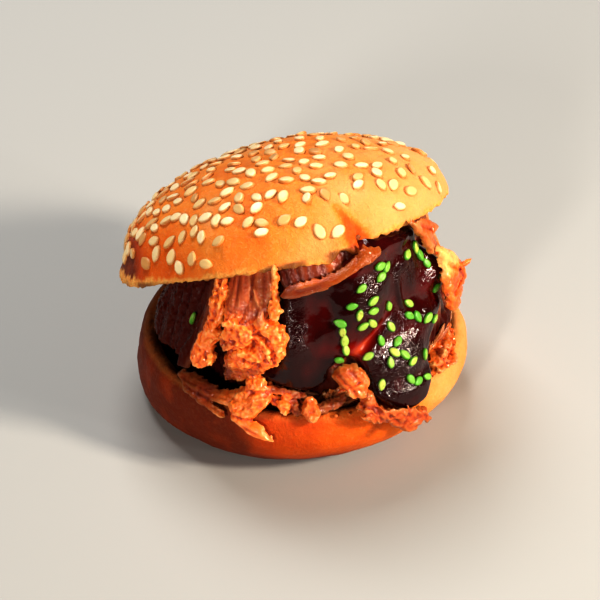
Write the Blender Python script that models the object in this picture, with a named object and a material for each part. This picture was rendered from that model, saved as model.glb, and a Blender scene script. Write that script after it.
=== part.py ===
"""Pulled beef slider: a small sesame bun, open in front like a mouth round a heap of pulled beef, with
thick barbecue sauce poured down the front right of the meat.

Run with: blender --background --python part.py
Metres, +Z up. The lower bun stands on z = 0, and the origin is below the centre of its rim. -Y is the
open front. The upper bun leans back and to the left, and its cut face is the plane that the heap fills up to.
Angles round the heap are degrees from +X, counterclockwise seen from above, so the front is at -90.
"""

import math

import bmesh
import bpy
from mathutils import Matrix, Vector, noise

MM = 0.001
GAP = 0.35 * MM  # room between pieces that touch

# Lower bun: a shallow cup, pressed hollow by the meat.
HEEL_RADIUS = 36.0 * MM
HEEL_BASE_RADIUS = 25.6 * MM
HEEL_RIM_RADIUS = 33.6 * MM
HEEL_RIM_HEIGHT = 16.6 * MM
HEEL_WIDEST_HEIGHT = 11.0 * MM
HEEL_FLOOR_HEIGHT = 9.8 * MM
HEEL_BASE_SHIFT = Vector((-5.4, 1.8)) * MM  # the flat foot sits off centre, as the bun baked lopsided
HEEL_BOWL_POWER = 6.0  # how late the hollow turns up to the rim

# Upper bun: half an ellipsoid on a flat cut face.
CROWN_RADIUS = 35.9 * MM
CROWN_HEIGHT = 18.9 * MM
CROWN_CENTRE = Vector((-3.35, 6.95, 35.7)) * MM
CROWN_LEAN = math.radians(25.8)
CROWN_LEAN_TOWARDS = math.radians(122.8)  # back and to the left
CROWN_EDGE_ROUND = 1.4 * MM
TEAR_AT = math.radians(-64)  # a crease torn into the front of the edge, in the crown's own plane
TEAR_WIDTH = math.radians(6.5)
TEAR_DEPTH = 2.2 * MM
TEAR_RISE = 2.4 * MM

# Heap of pulled beef between the two buns.
HEAP_FOOT_RADIUS = 29.6 * MM
HEAP_RADIUS = 31.6 * MM
HEAP_BULGE = 2.4 * MM  # further out at the front right, further in at the back left
HEAP_BULGE_AT = math.radians(-25)
HEAP_TOP_SHIFT = Vector((-4.6, 2.4)) * MM  # it leans with the upper bun
HEAP_TAPER = 2.6 * MM  # narrower again under the upper bun
HEAP_TAPER_FROM = 29.0 * MM
HEAP_TAPER_RISE = 16.0 * MM
HEAP_LUMP = 1.1 * MM
HEAP_LUMP_SIZE = 9.0 * MM
HEAP_FLARE_FROM = 15.4 * MM
HEAP_FLARE_RISE = 7.0 * MM

# Barbecue sauce: one thick sheet on the heap, with two tongues that run down.
SAUCE_FROM = math.radians(-108)
SAUCE_TO = math.radians(-13)
SAUCE_THICKNESS = 2.3 * MM
SAUCE_HEM = 29.0 * MM  # height of its lower edge between the tongues
SAUCE_TONGUES = (  # angle, half width in degrees, drop
    (-90, 16, 9.0 * MM),
    (-52, 17, 14.5 * MM),
)
SAUCE_OVERHANG = 6.0 * MM  # how far the right tongue swings out over the rim of the lower bun
SAUCE_OVERHANG_AT = math.radians(-50)
SAUCE_OVERHANG_WIDTH = math.radians(21)
SAUCE_OVERHANG_BELOW = 25.0 * MM
SAUCE_OVERHANG_FALL = 10.0 * MM
SAUCE_LEFT_TOP = 38.5 * MM
SAUCE_TOP_SLOPE = 17.0 * MM  # rise of the upper edge per radian, until it tucks under the crown

SEGMENTS = 52
HEAP_SEGMENTS = 56


def smoothstep(x):
    x = min(max(x, 0.0), 1.0)
    return x * x * (3 - 2 * x)


def mix(a, b, share):
    return a + (b - a) * share


def lump(point, size, seed):
    """Smooth noise from -1 to 1 that repeats about every size."""
    return noise.noise(point / size + Vector((seed, 0, 0)))


def crown_matrix():
    turn = Matrix.Rotation(CROWN_LEAN_TOWARDS, 4, "Z")
    lean = Matrix.Rotation(CROWN_LEAN, 4, "Y")
    return Matrix.Translation(CROWN_CENTRE) @ turn @ lean @ turn.inverted()


def cut_face_height(x, y):
    """Height of the crown's cut face over a place in the plan."""
    normal = crown_matrix().to_3x3() @ Vector((0, 0, 1))
    away = Vector((x, y)) - CROWN_CENTRE.xy
    return CROWN_CENTRE.z - normal.xy.dot(away) / normal.z


def heel_hollow_height(radius):
    share = min(radius / HEEL_RIM_RADIUS, 1.0)
    return mix(HEEL_FLOOR_HEIGHT, HEEL_RIM_HEIGHT, share**HEEL_BOWL_POWER)


def material(name, colour, roughness):
    made = bpy.data.materials.new(name)
    made.use_nodes = True
    shader = made.node_tree.nodes["Principled BSDF"]
    shader.inputs["Base Color"].default_value = (*colour, 1)
    shader.inputs["Roughness"].default_value = roughness
    shader.inputs["Metallic"].default_value = 0
    return made


def add_object(name, mesh, finish):
    made = bpy.data.objects.new(name, mesh)
    mesh.materials.append(finish)
    bpy.context.scene.collection.objects.link(made)
    mesh.shade_smooth()
    return made


def loft(name, rings, first_pole=None, last_pole=None):
    """A closed mesh through rings of equal length, each end closed by a pole."""
    mesh = bpy.data.meshes.new(name)
    bm = bmesh.new()
    rows = [[bm.verts.new(p) for p in ring] for ring in rings]
    for low, high in zip(rows, rows[1:]):
        for i in range(len(low)):
            j = (i + 1) % len(low)
            bm.faces.new((low[i], low[j], high[j], high[i]))
    for row, pole, flip in ((rows[0], first_pole, True), (rows[-1], last_pole, False)):
        tip = bm.verts.new(pole)
        for i in range(len(row)):
            j = (i + 1) % len(row)
            corners = (row[j], row[i], tip) if flip else (row[i], row[j], tip)
            bm.faces.new(corners)
    bmesh.ops.triangulate(bm, faces=bm.faces[:])
    bmesh.ops.recalc_face_normals(bm, faces=bm.faces[:])
    bm.to_mesh(mesh)
    bm.free()
    return mesh


def round_angles(count):
    return [2 * math.pi * i / count for i in range(count)]


def make_cutter(obj):
    obj.hide_render = True
    obj.display_type = "WIRE"
    return obj


def cut_by(obj, cutters):
    for cutter in cutters:
        cut = obj.modifiers.new("room_for_" + cutter.name, "BOOLEAN")
        cut.operation = "DIFFERENCE"
        cut.solver = "EXACT"
        cut.object = cutter


def heel_ring(radius, height, grow):
    """One ring of the lower bun. Below its widest height the rings slide towards the off-centre foot."""
    slide = HEEL_BASE_SHIFT * max(0.0, 1 - height / HEEL_WIDEST_HEIGHT) ** 1.5
    ring = []
    for angle in round_angles(SEGMENTS):
        reach = radius + grow
        ring.append(Vector((slide.x + reach * math.cos(angle), slide.y + reach * math.sin(angle), height)))
    return ring


def heel_mesh(name, grow=0.0):
    rings = []
    for step in range(6):  # foot round, up to the widest ring
        turn = math.radians(-90 + 18 * step)
        radius = mix(HEEL_BASE_RADIUS, HEEL_RADIUS, math.cos(turn))
        height = HEEL_WIDEST_HEIGHT * (1 + math.sin(turn))
        rings.append(heel_ring(radius, height - (grow if step == 0 else 0), grow))
    for step in range(1, 5):  # over the top of the rim
        turn = math.radians(22.5 * step)
        radius = mix(HEEL_RIM_RADIUS, HEEL_RADIUS, math.cos(turn))
        height = mix(HEEL_WIDEST_HEIGHT, HEEL_RIM_HEIGHT, math.sin(turn))
        rings.append(heel_ring(radius, height + grow * math.sin(turn), grow * math.cos(turn)))
    for share in (0.94, 0.86, 0.72, 0.4):  # down into the hollow
        radius = HEEL_RIM_RADIUS * share
        rings.append(heel_ring(radius, heel_hollow_height(radius) + grow, 0))
    foot = Vector((HEEL_BASE_SHIFT.x, HEEL_BASE_SHIFT.y, -grow))
    floor = Vector((0, 0, HEEL_FLOOR_HEIGHT + grow))
    return loft(name, rings, foot, floor)


def tear(angle):
    """How much of the torn crease there is at this angle of the crown's edge, from 0 to 1."""
    away = (angle - TEAR_AT + math.pi) % (2 * math.pi) - math.pi
    return math.exp(-((away / TEAR_WIDTH) ** 2))


def crown_ring(radius, height, torn, grow):
    ring = []
    for angle in round_angles(SEGMENTS):
        reach = radius + grow - TEAR_DEPTH * torn * tear(angle)
        rise = TEAR_RISE * torn * tear(angle) if height < CROWN_EDGE_ROUND else 0
        ring.append(Vector((reach * math.cos(angle), reach * math.sin(angle), height + rise)))
    return ring


def crown_mesh(name, grow=0.0):
    rings = [crown_ring(CROWN_RADIUS * share, -grow, 0, 0) for share in (0.5, 0.85)]
    rings.append(crown_ring(CROWN_RADIUS - 0.4 * CROWN_EDGE_ROUND, -grow, 1, grow))
    for step in range(10):
        turn = math.radians(4 + 9 * step)
        radius = CROWN_RADIUS * math.cos(turn)
        height = CROWN_HEIGHT * math.sin(turn)
        torn = max(0.0, 1 - step / 4)
        rings.append(crown_ring(radius, height + grow, torn, grow))
    return loft(name, rings, Vector((0, 0, -grow)), Vector((0, 0, CROWN_HEIGHT + grow)))


def heap_edge_radius(angle):
    return HEAP_RADIUS + HEAP_BULGE * math.cos(angle - HEAP_BULGE_AT)


def heap_point(angle, height, out=0.0):
    """A point on the side of the heap, moved outwards by out."""
    flare = smoothstep((height - HEAP_FLARE_FROM) / HEAP_FLARE_RISE)
    taper = HEAP_TAPER * smoothstep((height - HEAP_TAPER_FROM) / HEAP_TAPER_RISE)
    radius = mix(HEAP_FOOT_RADIUS, heap_edge_radius(angle), flare) - taper
    shift = HEAP_TOP_SHIFT * smoothstep((height - HEAP_FLARE_FROM) / (30 * MM))
    place = Vector((radius * math.cos(angle), radius * math.sin(angle), height))
    reach = radius + flare * HEAP_LUMP * lump(place, HEAP_LUMP_SIZE, 3.7) + out
    return Vector((shift.x + reach * math.cos(angle), shift.y + reach * math.sin(angle), height))


def heap_top_height(angle):
    """Height at which the side of the heap meets the crown's cut face."""
    height = 30 * MM
    for _ in range(12):
        place = heap_point(angle, height)
        height = mix(height, cut_face_height(place.x, place.y) - GAP, 0.7)
    return height


def heap_mesh(name, grow=0.0):
    angles = round_angles(HEAP_SEGMENTS)
    foot_height = heel_hollow_height(HEAP_FOOT_RADIUS) + GAP
    rings = []
    for share in (0.4, 0.72, 0.9):
        radius = HEAP_FOOT_RADIUS * share
        height = heel_hollow_height(radius) + GAP
        rings.append([Vector((radius * math.cos(a), radius * math.sin(a), height)) for a in angles])
    rows = 9
    for row in range(rows + 1):
        share = row / rows
        rings.append([heap_point(a, mix(foot_height, heap_top_height(a), share), grow) for a in angles])
    edge = rings[-1]
    middle = sum(edge, Vector()) / len(edge)
    middle.z = cut_face_height(middle.x, middle.y) - GAP
    for share in (0.8, 0.4):
        rings.append([middle.lerp(p, share) for p in edge])
    return loft(name, rings, Vector((0, 0, HEEL_FLOOR_HEIGHT + GAP)), middle)


def sauce_lower_edge(angle):
    drop = 0.0
    for at, half_width, depth in SAUCE_TONGUES:
        away = (math.degrees(angle) - at) / half_width
        drop += depth * math.exp(-(away**2))
    return SAUCE_HEM - drop


def sauce_upper_edge(angle):
    rise = SAUCE_LEFT_TOP + SAUCE_TOP_SLOPE * (angle - SAUCE_FROM)
    return min(rise, heap_top_height(angle) - 0.5 * MM)


def sauce_overhang(angle, height):
    away = (angle - SAUCE_OVERHANG_AT) / SAUCE_OVERHANG_WIDTH
    low = smoothstep((SAUCE_OVERHANG_BELOW - height) / SAUCE_OVERHANG_FALL)
    return SAUCE_OVERHANG * math.exp(-(away**2)) * low


def sauce_mesh(name):
    """Two grids, one just inside the heap and one a thickness outside it, joined round their edge."""
    columns, rows = 26, 12
    inner, outer = [], []
    for i in range(columns + 1):
        across = i / columns
        angle = mix(SAUCE_FROM, SAUCE_TO, across)
        low, high = sauce_lower_edge(angle), sauce_upper_edge(angle)
        for j in range(rows + 1):
            up = j / rows
            height = mix(low, high, up)
            round_off = min(1.0, 5 * min(across, 1 - across), 4 * up + 0.15, 6 * (1 - up) + 0.15)
            hang = 1.6 * MM * (1 - up) ** 4  # a tongue is thickest at its tip
            thick = (SAUCE_THICKNESS + hang) * math.sqrt(max(round_off, 0.06))
            over = sauce_overhang(angle, height)
            inner.append(heap_point(angle, height, over - GAP))
            outer.append(heap_point(angle, height, over + GAP + thick))
    mesh = bpy.data.meshes.new(name)
    bm = bmesh.new()
    near = [bm.verts.new(p) for p in inner]
    far = [bm.verts.new(p) for p in outer]
    stride = rows + 1

    def corner(i, j):
        return i * stride + j

    for i in range(columns):
        for j in range(rows):
            quad = [corner(i, j), corner(i + 1, j), corner(i + 1, j + 1), corner(i, j + 1)]
            bm.faces.new([far[k] for k in quad])
            bm.faces.new([near[k] for k in reversed(quad)])
    edge = [corner(i, 0) for i in range(columns)] + [corner(columns, j) for j in range(rows)]
    edge += [corner(i, rows) for i in range(columns, 0, -1)] + [corner(0, j) for j in range(rows, 0, -1)]
    for k, here in enumerate(edge):
        there = edge[(k + 1) % len(edge)]
        bm.faces.new((near[here], near[there], far[there], far[here]))
    bmesh.ops.triangulate(bm, faces=bm.faces[:])
    bmesh.ops.recalc_face_normals(bm, faces=bm.faces[:])
    bm.to_mesh(mesh)
    bm.free()
    return mesh


# Chunks of beef large enough to be picked off by themselves. Each runs from a first to a last point
# (millimetres), has a width and a depth at each end, and bows outwards in between by bow.
CHUNKS = {
    "beef_front_clump": dict(run=((-9, -26.5, 46), (-9.5, -31, 25)), wide=(12, 15), deep=(6, 10), bow=1.0),
    "beef_left_strand": dict(run=((-17.5, -22.5, 41), (-20.5, -27.5, 24.8)), wide=(4, 7.5), deep=(4, 6.5), bow=0.8),
    "beef_long_strip": dict(run=((-4.3, -31, 42.5), (13.5, -26.5, 48.7)), wide=(2.2, 2.4), deep=(2.2, 2.2), bow=0.6),
    "beef_low_left_shred": dict(run=((-26, -23, 18.8), (-15.5, -34.5, 15.5)), wide=(5, 4), deep=(3.2, 3.2), bow=1.6),
    "beef_low_clump": dict(run=((-12.5, -33.5, 19.6), (-6, -36.2, 15.2)), wide=(6.5, 6.5), deep=(5, 4), bow=0.6),
    "beef_rim_crumb": dict(run=((1.5, -34.6, 18.6), (8.5, -34.6, 18.2)), wide=(3.6, 4.4), deep=(3.2, 3.6), bow=0.8),
    "beef_under_sauce": dict(run=((8.2, -34, 28), (13.4, -35, 22.8)), wide=(5, 6.5), deep=(3.4, 4), bow=0.4),
    "beef_low_right_clump": dict(run=((12.5, -35.2, 17.6), (25.5, -28.6, 13.4)), wide=(4.5, 7), deep=(3.6, 4.6), bow=1.6),
    "beef_right_clump": dict(run=((31, -14.5, 23.5), (32.3, -12, 13.5)), wide=(6.5, 7), deep=(4.6, 4.2), bow=1.0),
    "beef_top_right_clump": dict(run=((30.6, -6.5, 39), (32.6, -7.5, 27)), wide=(6.5, 8), deep=(5, 5), bow=1.2),
    "beef_top_tip": dict(run=((23, -7.5, 42), (28.2, -4.5, 45.3)), wide=(5, 3.4), deep=(4, 3), bow=0.4),
}
CHUNK_SIDES = 14
CHUNK_RINGS = 9


def chunk_mesh(name, run, wide, deep, bow, grow=0.0):
    """A lumpy bundle with blunt ends. Its width lies along the heap and its depth points out of it."""
    first, last = (Vector(p) * MM for p in run)
    along = (last - first).normalized()
    middle = (first + last) / 2
    outwards = Vector((middle.x, middle.y, 0)).normalized()
    outwards = (outwards - along * outwards.dot(along)).normalized()
    sideways = along.cross(outwards)
    seed = len(name) * 1.7
    rings = []
    for k in range(CHUNK_RINGS):
        turn = math.pi * (k + 0.6) / (CHUNK_RINGS + 0.2)
        share = (1 - math.cos(turn)) / 2
        swell = math.sin(turn) ** 0.45
        centre = first.lerp(last, share) + outwards * bow * MM * math.sin(math.pi * share)
        half_wide = mix(*wide, share) * MM / 2 * swell
        half_deep = mix(*deep, share) * MM / 2 * swell
        ring = []
        for angle in round_angles(CHUNK_SIDES):
            spoke = sideways * half_wide * math.cos(angle) + outwards * half_deep * math.sin(angle)
            bumpy = 1 + 0.16 * lump(centre + spoke, 3.5 * MM, seed)
            ring.append(centre + spoke * bumpy + spoke.normalized() * grow)
        rings.append(ring)
    return loft(name, rings, first - along * grow, last + along * grow)


def main():
    for old in list(bpy.data.objects):
        bpy.data.objects.remove(old)
    crust = material("baked_crust", (0.83, 0.37, 0.10), 0.62)
    beef = material("pulled_beef", (0.62, 0.19, 0.07), 0.5)
    glaze = material("barbecue_sauce", (0.10, 0.01, 0.012), 0.12)

    heel_room = make_cutter(add_object("heel_room", heel_mesh("heel_room", GAP), crust))
    crown_room = make_cutter(add_object("crown_room", crown_mesh("crown_room", GAP), crust))
    crown_room.matrix_world = crown_matrix()

    add_object("bun_heel", heel_mesh("bun_heel"), crust)
    crown = add_object("bun_crown", crown_mesh("bun_crown"), crust)
    crown.matrix_world = crown_matrix()

    chunk_rooms = []
    for name, sizes in CHUNKS.items():
        chunk = add_object(name, chunk_mesh(name, **sizes), beef)
        cut_by(chunk, (heel_room, crown_room))
        room = add_object(name + "_room", chunk_mesh(name, grow=GAP, **sizes), beef)
        chunk_rooms.append(make_cutter(room))

    heap = add_object("beef_heap", heap_mesh("beef_heap"), beef)
    cut_by(heap, chunk_rooms)
    heap_room = make_cutter(add_object("heap_room", heap_mesh("heap_room", GAP), beef))
    sauce = add_object("barbecue_sauce", sauce_mesh("barbecue_sauce"), glaze)
    cut_by(sauce, (heap_room, heel_room, crown_room, *chunk_rooms))


main()
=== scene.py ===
"""Looks of a pulled beef slider: milk-bread bun with hulled sesame, pulled beef, barbecue sauce and green sesame.

Shapes are worked out in millimetres and stored in metres, +Z up. The lower bun stands on z = 0 and its open front
looks along -Y. Angles round the bun are degrees from +X, counterclockwise seen from above.
"""

import math
import random

import bpy
import numpy as np
from mathutils import Matrix, Vector
from mathutils.bvhtree import BVHTree


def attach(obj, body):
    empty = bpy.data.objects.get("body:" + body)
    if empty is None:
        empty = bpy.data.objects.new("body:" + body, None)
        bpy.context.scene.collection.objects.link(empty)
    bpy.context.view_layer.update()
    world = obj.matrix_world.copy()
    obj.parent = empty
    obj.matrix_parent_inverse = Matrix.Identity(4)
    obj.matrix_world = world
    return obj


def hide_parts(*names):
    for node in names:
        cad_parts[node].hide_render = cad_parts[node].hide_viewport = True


MM = 0.001

# Upper bun in mm, in its own frame: the cut face is z = 0 and the middle of it the origin.
CROWN_RADIUS = 35.9
CROWN_HEIGHT = 18.9
CROWN_CENTRE = Vector((-3.35, 6.95, 35.7))
CROWN_LEAN = math.radians(25.8)
CROWN_LEAN_TOWARDS = math.radians(122.8)

SIDE_REACH = 32  # mm along the side of the heap for one radian
OUTSIDE = 60  # mm from the axis, clear of everything
FLAKE_GRID = 0.22  # mm

# Softboxes: azimuth and elevation in degrees, distance, width and height in metres, watts and colour.
SOFTBOXES = (
    ("key", 66, 30, 0.7, 0.1, 0.12, 6.9, "#fff4e4"),
    ("glint", 56, 14, 0.7, 0.04, 0.06, 1.0, "#fffaf2"),
    ("back_top", 205, 60, 0.8, 0.4, 0.4, 6.4, "#ffffff"),
    ("front", -20, 22, 0.9, 0.08, 0.12, 4.9, "#fffaf2"),
)
LIT_POINT = (0, 0, 0.025)
ROOM_LIGHT = 0.08
CAMERA_TARGET = Vector((-0.65, 0, 21.9)) * MM
CAMERA_ELEVATION = math.radians(35)
CAMERA_DISTANCE = 0.48
CAMERA_LENS = 132
VIEW_CONTRAST = 0.7  # below 1 deepens the shadows and the colours

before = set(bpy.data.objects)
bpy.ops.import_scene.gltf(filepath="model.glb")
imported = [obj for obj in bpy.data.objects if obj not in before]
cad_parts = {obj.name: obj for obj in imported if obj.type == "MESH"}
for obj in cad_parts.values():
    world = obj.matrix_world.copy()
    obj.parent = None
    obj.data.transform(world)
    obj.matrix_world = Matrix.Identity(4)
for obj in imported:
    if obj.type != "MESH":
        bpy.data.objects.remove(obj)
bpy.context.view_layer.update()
bpy.ops.object.select_all(action="DESELECT")


# ---------------------------------------------------------------- shaping


def pick(*pieces):
    bpy.ops.object.select_all(action="DESELECT")
    for piece in pieces:
        piece.select_set(True)
    bpy.context.view_layer.objects.active = pieces[0]


def settle(piece):
    pick(piece)
    bpy.ops.object.transform_apply(location=True, rotation=True, scale=True)


def join(name, pieces):
    pick(*pieces)
    if len(pieces) > 1:
        bpy.ops.object.join()
    joined = bpy.context.view_layer.objects.active
    settle(joined)
    joined.name = joined.data.name = name
    return joined


def add(name, data):
    """Puts a new object that shows this data in the scene."""
    made = bpy.data.objects.new(name, data)
    bpy.context.scene.collection.objects.link(made)
    return made


def open_mesh(piece):
    pick(piece)
    bpy.ops.object.mode_set(mode="EDIT")
    bpy.ops.mesh.select_all(action="SELECT")


def close_mesh():
    bpy.ops.object.mode_set(mode="OBJECT")


def modify(piece, kind, **settings):
    modifier = piece.modifiers.new(kind, kind)
    for name, value in settings.items():
        setattr(modifier, name, value)
    pick(piece)
    bpy.ops.object.modifier_apply(modifier=modifier.name)


def fuse(piece, size):
    """Melts overlapping shapes into one skin with faces of this size."""
    modify(piece, "REMESH", mode="VOXEL", voxel_size=size * MM, use_smooth_shade=True)


def soften(piece, times):
    modify(piece, "SMOOTH", iterations=times, factor=0.5)


def roughen(piece, size, depth):
    """Pushes the skin in and out by a cloudy pattern of this size."""
    pattern = bpy.data.textures.new("pattern", "CLOUDS")
    pattern.noise_scale = 1.0
    pattern.noise_depth = 0
    bpy.ops.object.empty_add()
    place = bpy.context.object
    place.scale = [size * MM] * 3
    modify(piece, "DISPLACE", texture=pattern, texture_coords="OBJECT", texture_coords_object=place,
           strength=depth * MM, mid_level=0.5)
    bpy.data.objects.remove(place)
    bpy.data.textures.remove(pattern)


def read_vertices(piece, what):
    values = np.empty(len(piece.data.vertices) * 3)
    piece.data.vertices.foreach_get(what, values)
    return values.reshape(-1, 3)


def points_of(piece):
    """Its points, in mm."""
    return read_vertices(piece, "co") / MM


def set_points(piece, points):
    piece.data.vertices.foreach_set("co", (points * MM).ravel())
    piece.data.update()


def normals_of(piece):
    return read_vertices(piece, "normal")


def triangles_of(piece):
    piece.data.calc_loop_triangles()
    return np.array([t.vertices[:] for t in piece.data.loop_triangles])


def new_piece(name, points, faces, edges=()):
    mesh = bpy.data.meshes.new(name)
    mesh.from_pydata((np.array(points) * MM).tolist(), edges, np.array(faces).tolist())
    return add(name, mesh)


def push(piece, amount):
    """Moves each point along its normal by its own amount, in mm."""
    normals = normals_of(piece)
    set_points(piece, points_of(piece) + normals * np.broadcast_to(amount, len(normals))[:, None])


def moved(points, matrix):
    matrix = np.array(matrix)
    return points @ matrix[:3, :3].T + matrix[:3, 3]


def around(points):
    """Angle of each point round the bun in degrees, and how far it is from the axis."""
    return np.degrees(np.arctan2(points[:, 1], points[:, 0])), np.hypot(points[:, 0], points[:, 1])


def turn_between(angle, middle):
    """Degrees from middle to each angle, the short way round."""
    return (angle - middle + 180) % 360 - 180


def step(x):
    x = np.clip(x, 0.0, 1.0)
    return x * x * (3 - 2 * x)


def bump(x):
    return np.exp(-(x**2))


def grain(points, size, seed=0):
    """Smooth noise at each point, from about -1 to 1, that varies over this size."""
    rng = np.random.default_rng(seed)
    slopes = rng.normal(size=(4096, 3))
    slopes /= np.linalg.norm(slopes, axis=1)[:, None]
    spot = points / size + rng.uniform(0, 100, 3)
    cell = np.floor(spot).astype(np.int64)
    inner = spot - cell
    ease = inner**3 * (inner * (inner * 6 - 15) + 10)
    total = np.zeros(len(points))
    for corner in np.ndindex(2, 2, 2):
        corner = np.array(corner)
        at = (cell + corner) * (73856093, 19349663, 83492791)
        slope = slopes[(at[:, 0] ^ at[:, 1] ^ at[:, 2]) % 4096]
        weight = np.where(corner, ease, 1 - ease).prod(1)
        total += weight * ((inner - corner) * slope).sum(1)
    return total * 1.6


def folds(points, size, seed=0, warp=0.5):
    """Round lobes of this size with sharp creases between them, from about -0.5 to 0.5."""
    shift = np.stack([grain(points, size * 1.3, seed + k) for k in (1, 2, 3)], 1)
    return np.abs(grain(points + shift * size * warp, size, seed)) * 1.6 - 0.5


def relief(piece, rounds):
    """How far each point stands out of the surface averaged around it, in mm."""
    points = points_of(piece)
    ends = np.empty(len(piece.data.edges) * 2, np.int64)
    piece.data.edges.foreach_get("vertices", ends)
    a, b = ends.reshape(-1, 2).T
    size = len(points)
    count = np.bincount(a, minlength=size) + np.bincount(b, minlength=size)
    level = points
    for _ in range(rounds):
        total = [np.bincount(a, level[b, axis], size) + np.bincount(b, level[a, axis], size) for axis in range(3)]
        level = np.stack(total, 1) / np.maximum(count, 1)[:, None]
    return ((points - level) * normals_of(piece)).sum(1)


def tree_of(piece):
    return BVHTree.FromPolygons(points_of(piece).tolist(), triangles_of(piece).tolist())


def side_points(outline):
    """Angle and height of each corner in turn, as places on the unrolled side of the heap."""
    return np.array([(math.radians(a) * SIDE_REACH, h) for a, h in zip(outline[::2], outline[1::2])])


def line_distance(across, up, corners, closed=False):
    """Distance from each place on the unrolled side to a line through corners."""
    ends = np.roll(corners, -1, 0)
    if not closed:
        corners, ends = corners[:-1], ends[:-1]
    nearest = np.full(across.shape, np.inf)
    for (x0, y0), (x1, y1) in zip(corners, ends):
        dx, dy = x1 - x0, y1 - y0
        t = np.clip(((across - x0) * dx + (up - y0) * dy) / (dx * dx + dy * dy), 0, 1)
        nearest = np.minimum(nearest, np.hypot(across - x0 - t * dx, up - y0 - t * dy))
    return nearest


def inside_distance(across, up, outline):
    """Distance in from the outline, below zero outside it."""
    corners = side_points(outline)
    inside = np.zeros(across.shape, bool)
    for (x0, y0), (x1, y1) in zip(corners, np.roll(corners, -1, 0)):
        crosses = (y0 > up) != (y1 > up)
        inside ^= crosses & (across < x0 + (up - y0) * (x1 - x0) / ((y1 - y0) or 1))
    nearest = line_distance(across, up, corners, True)
    return np.where(inside, nearest, -nearest)


def sheet(name, radius, across, up, keep, thickness):
    """A skin over a grid on the side of the heap, given a thickness inwards."""
    angle = across / SIDE_REACH
    points = np.stack([radius * np.cos(angle), radius * np.sin(angle), up], -1).reshape(-1, 3)
    index = np.arange(len(points)).reshape(across.shape)
    whole = keep[:-1, :-1] & keep[1:, :-1] & keep[1:, 1:] & keep[:-1, 1:]
    faces = np.stack([index[:-1, :-1], index[1:, :-1], index[1:, 1:], index[:-1, 1:]], -1)[whole]
    made = new_piece(name, points, faces)
    open_mesh(made)
    bpy.ops.mesh.delete_loose()
    close_mesh()
    modify(made, "SOLIDIFY", thickness=thickness * MM, offset=-1)
    return made


def flake(outline, radius, height, slope, rise, swell, ragged, creases=(), seed=0):
    """A scrap of meat on the side of the heap, from the angles and heights of its outline. Its radius is given at one
    height and changes by slope going up. It swells outwards by rise, over a border as wide as swell. A crease has its
    line, half width and depth."""
    corners = side_points(outline)
    spans = [np.arange(low - 1, high + 1, FLAKE_GRID) for low, high in zip(corners.min(0), corners.max(0))]
    across, up = np.meshgrid(*spans, indexing="ij")
    flat = np.stack([across.ravel(), up.ravel(), np.zeros(across.size)], 1)
    edge = inside_distance(across, up, outline)
    edge += ragged * (grain(flat, 1.3, seed) + 0.6 * grain(flat, 0.65, seed + 1)).reshape(across.shape)
    rounded = np.sqrt(1 - (1 - np.clip(edge / swell, 0, 1)) ** 2)
    lift = rise * (0.35 * np.clip(edge / 0.4, 0, 1) + 0.65 * rounded) + 3.5 * np.minimum(edge, 0)  # the rim turns in
    for line, wide, deep in creases:
        lift -= deep * bump(line_distance(across, up, side_points(line)) / wide)
    radius = radius + lift + slope * (up - height)
    angle = across / SIDE_REACH
    under = cut_face_room(radius * np.cos(angle), radius * np.sin(angle), up) > -0.5
    return sheet("flake", radius, across, up, (edge > -0.2) & under, 1.5)


def paint(piece, name, *channels):
    """Stores up to four numbers from 0 to 1 at each point, as the colour attribute that a material reads."""
    colours = np.zeros((len(piece.data.vertices), 4), np.float32)
    for k, channel in enumerate(channels):
        colours[:, k] = np.clip(channel, 0, 1)
    attribute = piece.data.color_attributes.new(name, "FLOAT_COLOR", "POINT")
    attribute.data.foreach_set("color", colours.ravel())


def finish(piece, material, slot, *nodes):
    piece.data.materials.clear()
    piece.data.materials.append(material)
    piece.data.shade_smooth()
    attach(piece, "root")
    for name in nodes:
        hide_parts(name)


# ---------------------------------------------------------------- materials


def linear(colour):
    """An sRGB hex colour as linear RGBA."""
    parts = [int(colour[i : i + 2], 16) / 255 for i in (1, 3, 5)]
    return (*[v / 12.92 if v <= 0.04045 else ((v + 0.055) / 1.055) ** 2.4 for v in parts], 1.0)


def new_material(name, scatter=None, **values):
    """Scatter is how far red, green and blue light spreads under the skin, in mm."""
    made = bpy.data.materials.new(name)
    made.use_nodes = True
    shader = made.node_tree.nodes["Principled BSDF"]
    for socket, value in values.items():
        shader.inputs[socket.replace("_", " ")].default_value = value
    if scatter:
        shader.inputs["Subsurface Radius"].default_value = [reach * MM for reach in scatter]
        shader.inputs["Subsurface Scale"].default_value = 1.0
    return made, made.node_tree, shader


def drive(tree, shader, **sources):
    for socket, source in sources.items():
        tree.links.new(source, shader.inputs[socket.replace("_", " ")])


def node(tree, kind, values=None, links=None, **settings):
    made = tree.nodes.new("ShaderNode" + kind)
    for name, value in settings.items():
        setattr(made, name, value)
    for socket, value in (values or {}).items():
        made.inputs[socket].default_value = value
    for socket, source in (links or {}).items():
        tree.links.new(source, made.inputs[socket])
    return made


def place_in(tree):
    return node(tree, "TexCoord").outputs["Object"]


def painted(tree, name):
    """The four numbers that paint stored under this name."""
    attribute = node(tree, "Attribute", attribute_name=name)
    parts = node(tree, "SeparateColor", links={0: attribute.outputs["Color"]})
    return (*parts.outputs[:3], attribute.outputs["Alpha"])


def noise(tree, place, size, detail, **values):
    """Noise from 0 to 1 that varies over this size in mm."""
    values = {"Scale": 1 / (size * MM), "Detail": detail, **values}
    return node(tree, "TexNoise", values, {"Vector": place}).outputs["Fac"]


def remap(tree, source, low, high, first=0.0, last=1.0):
    """Goes from low to high while the source goes from first to last."""
    values = {"From Min": first, "From Max": last, "To Min": low, "To Max": high}
    return node(tree, "MapRange", values, {"Value": source}).outputs[0]


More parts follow.
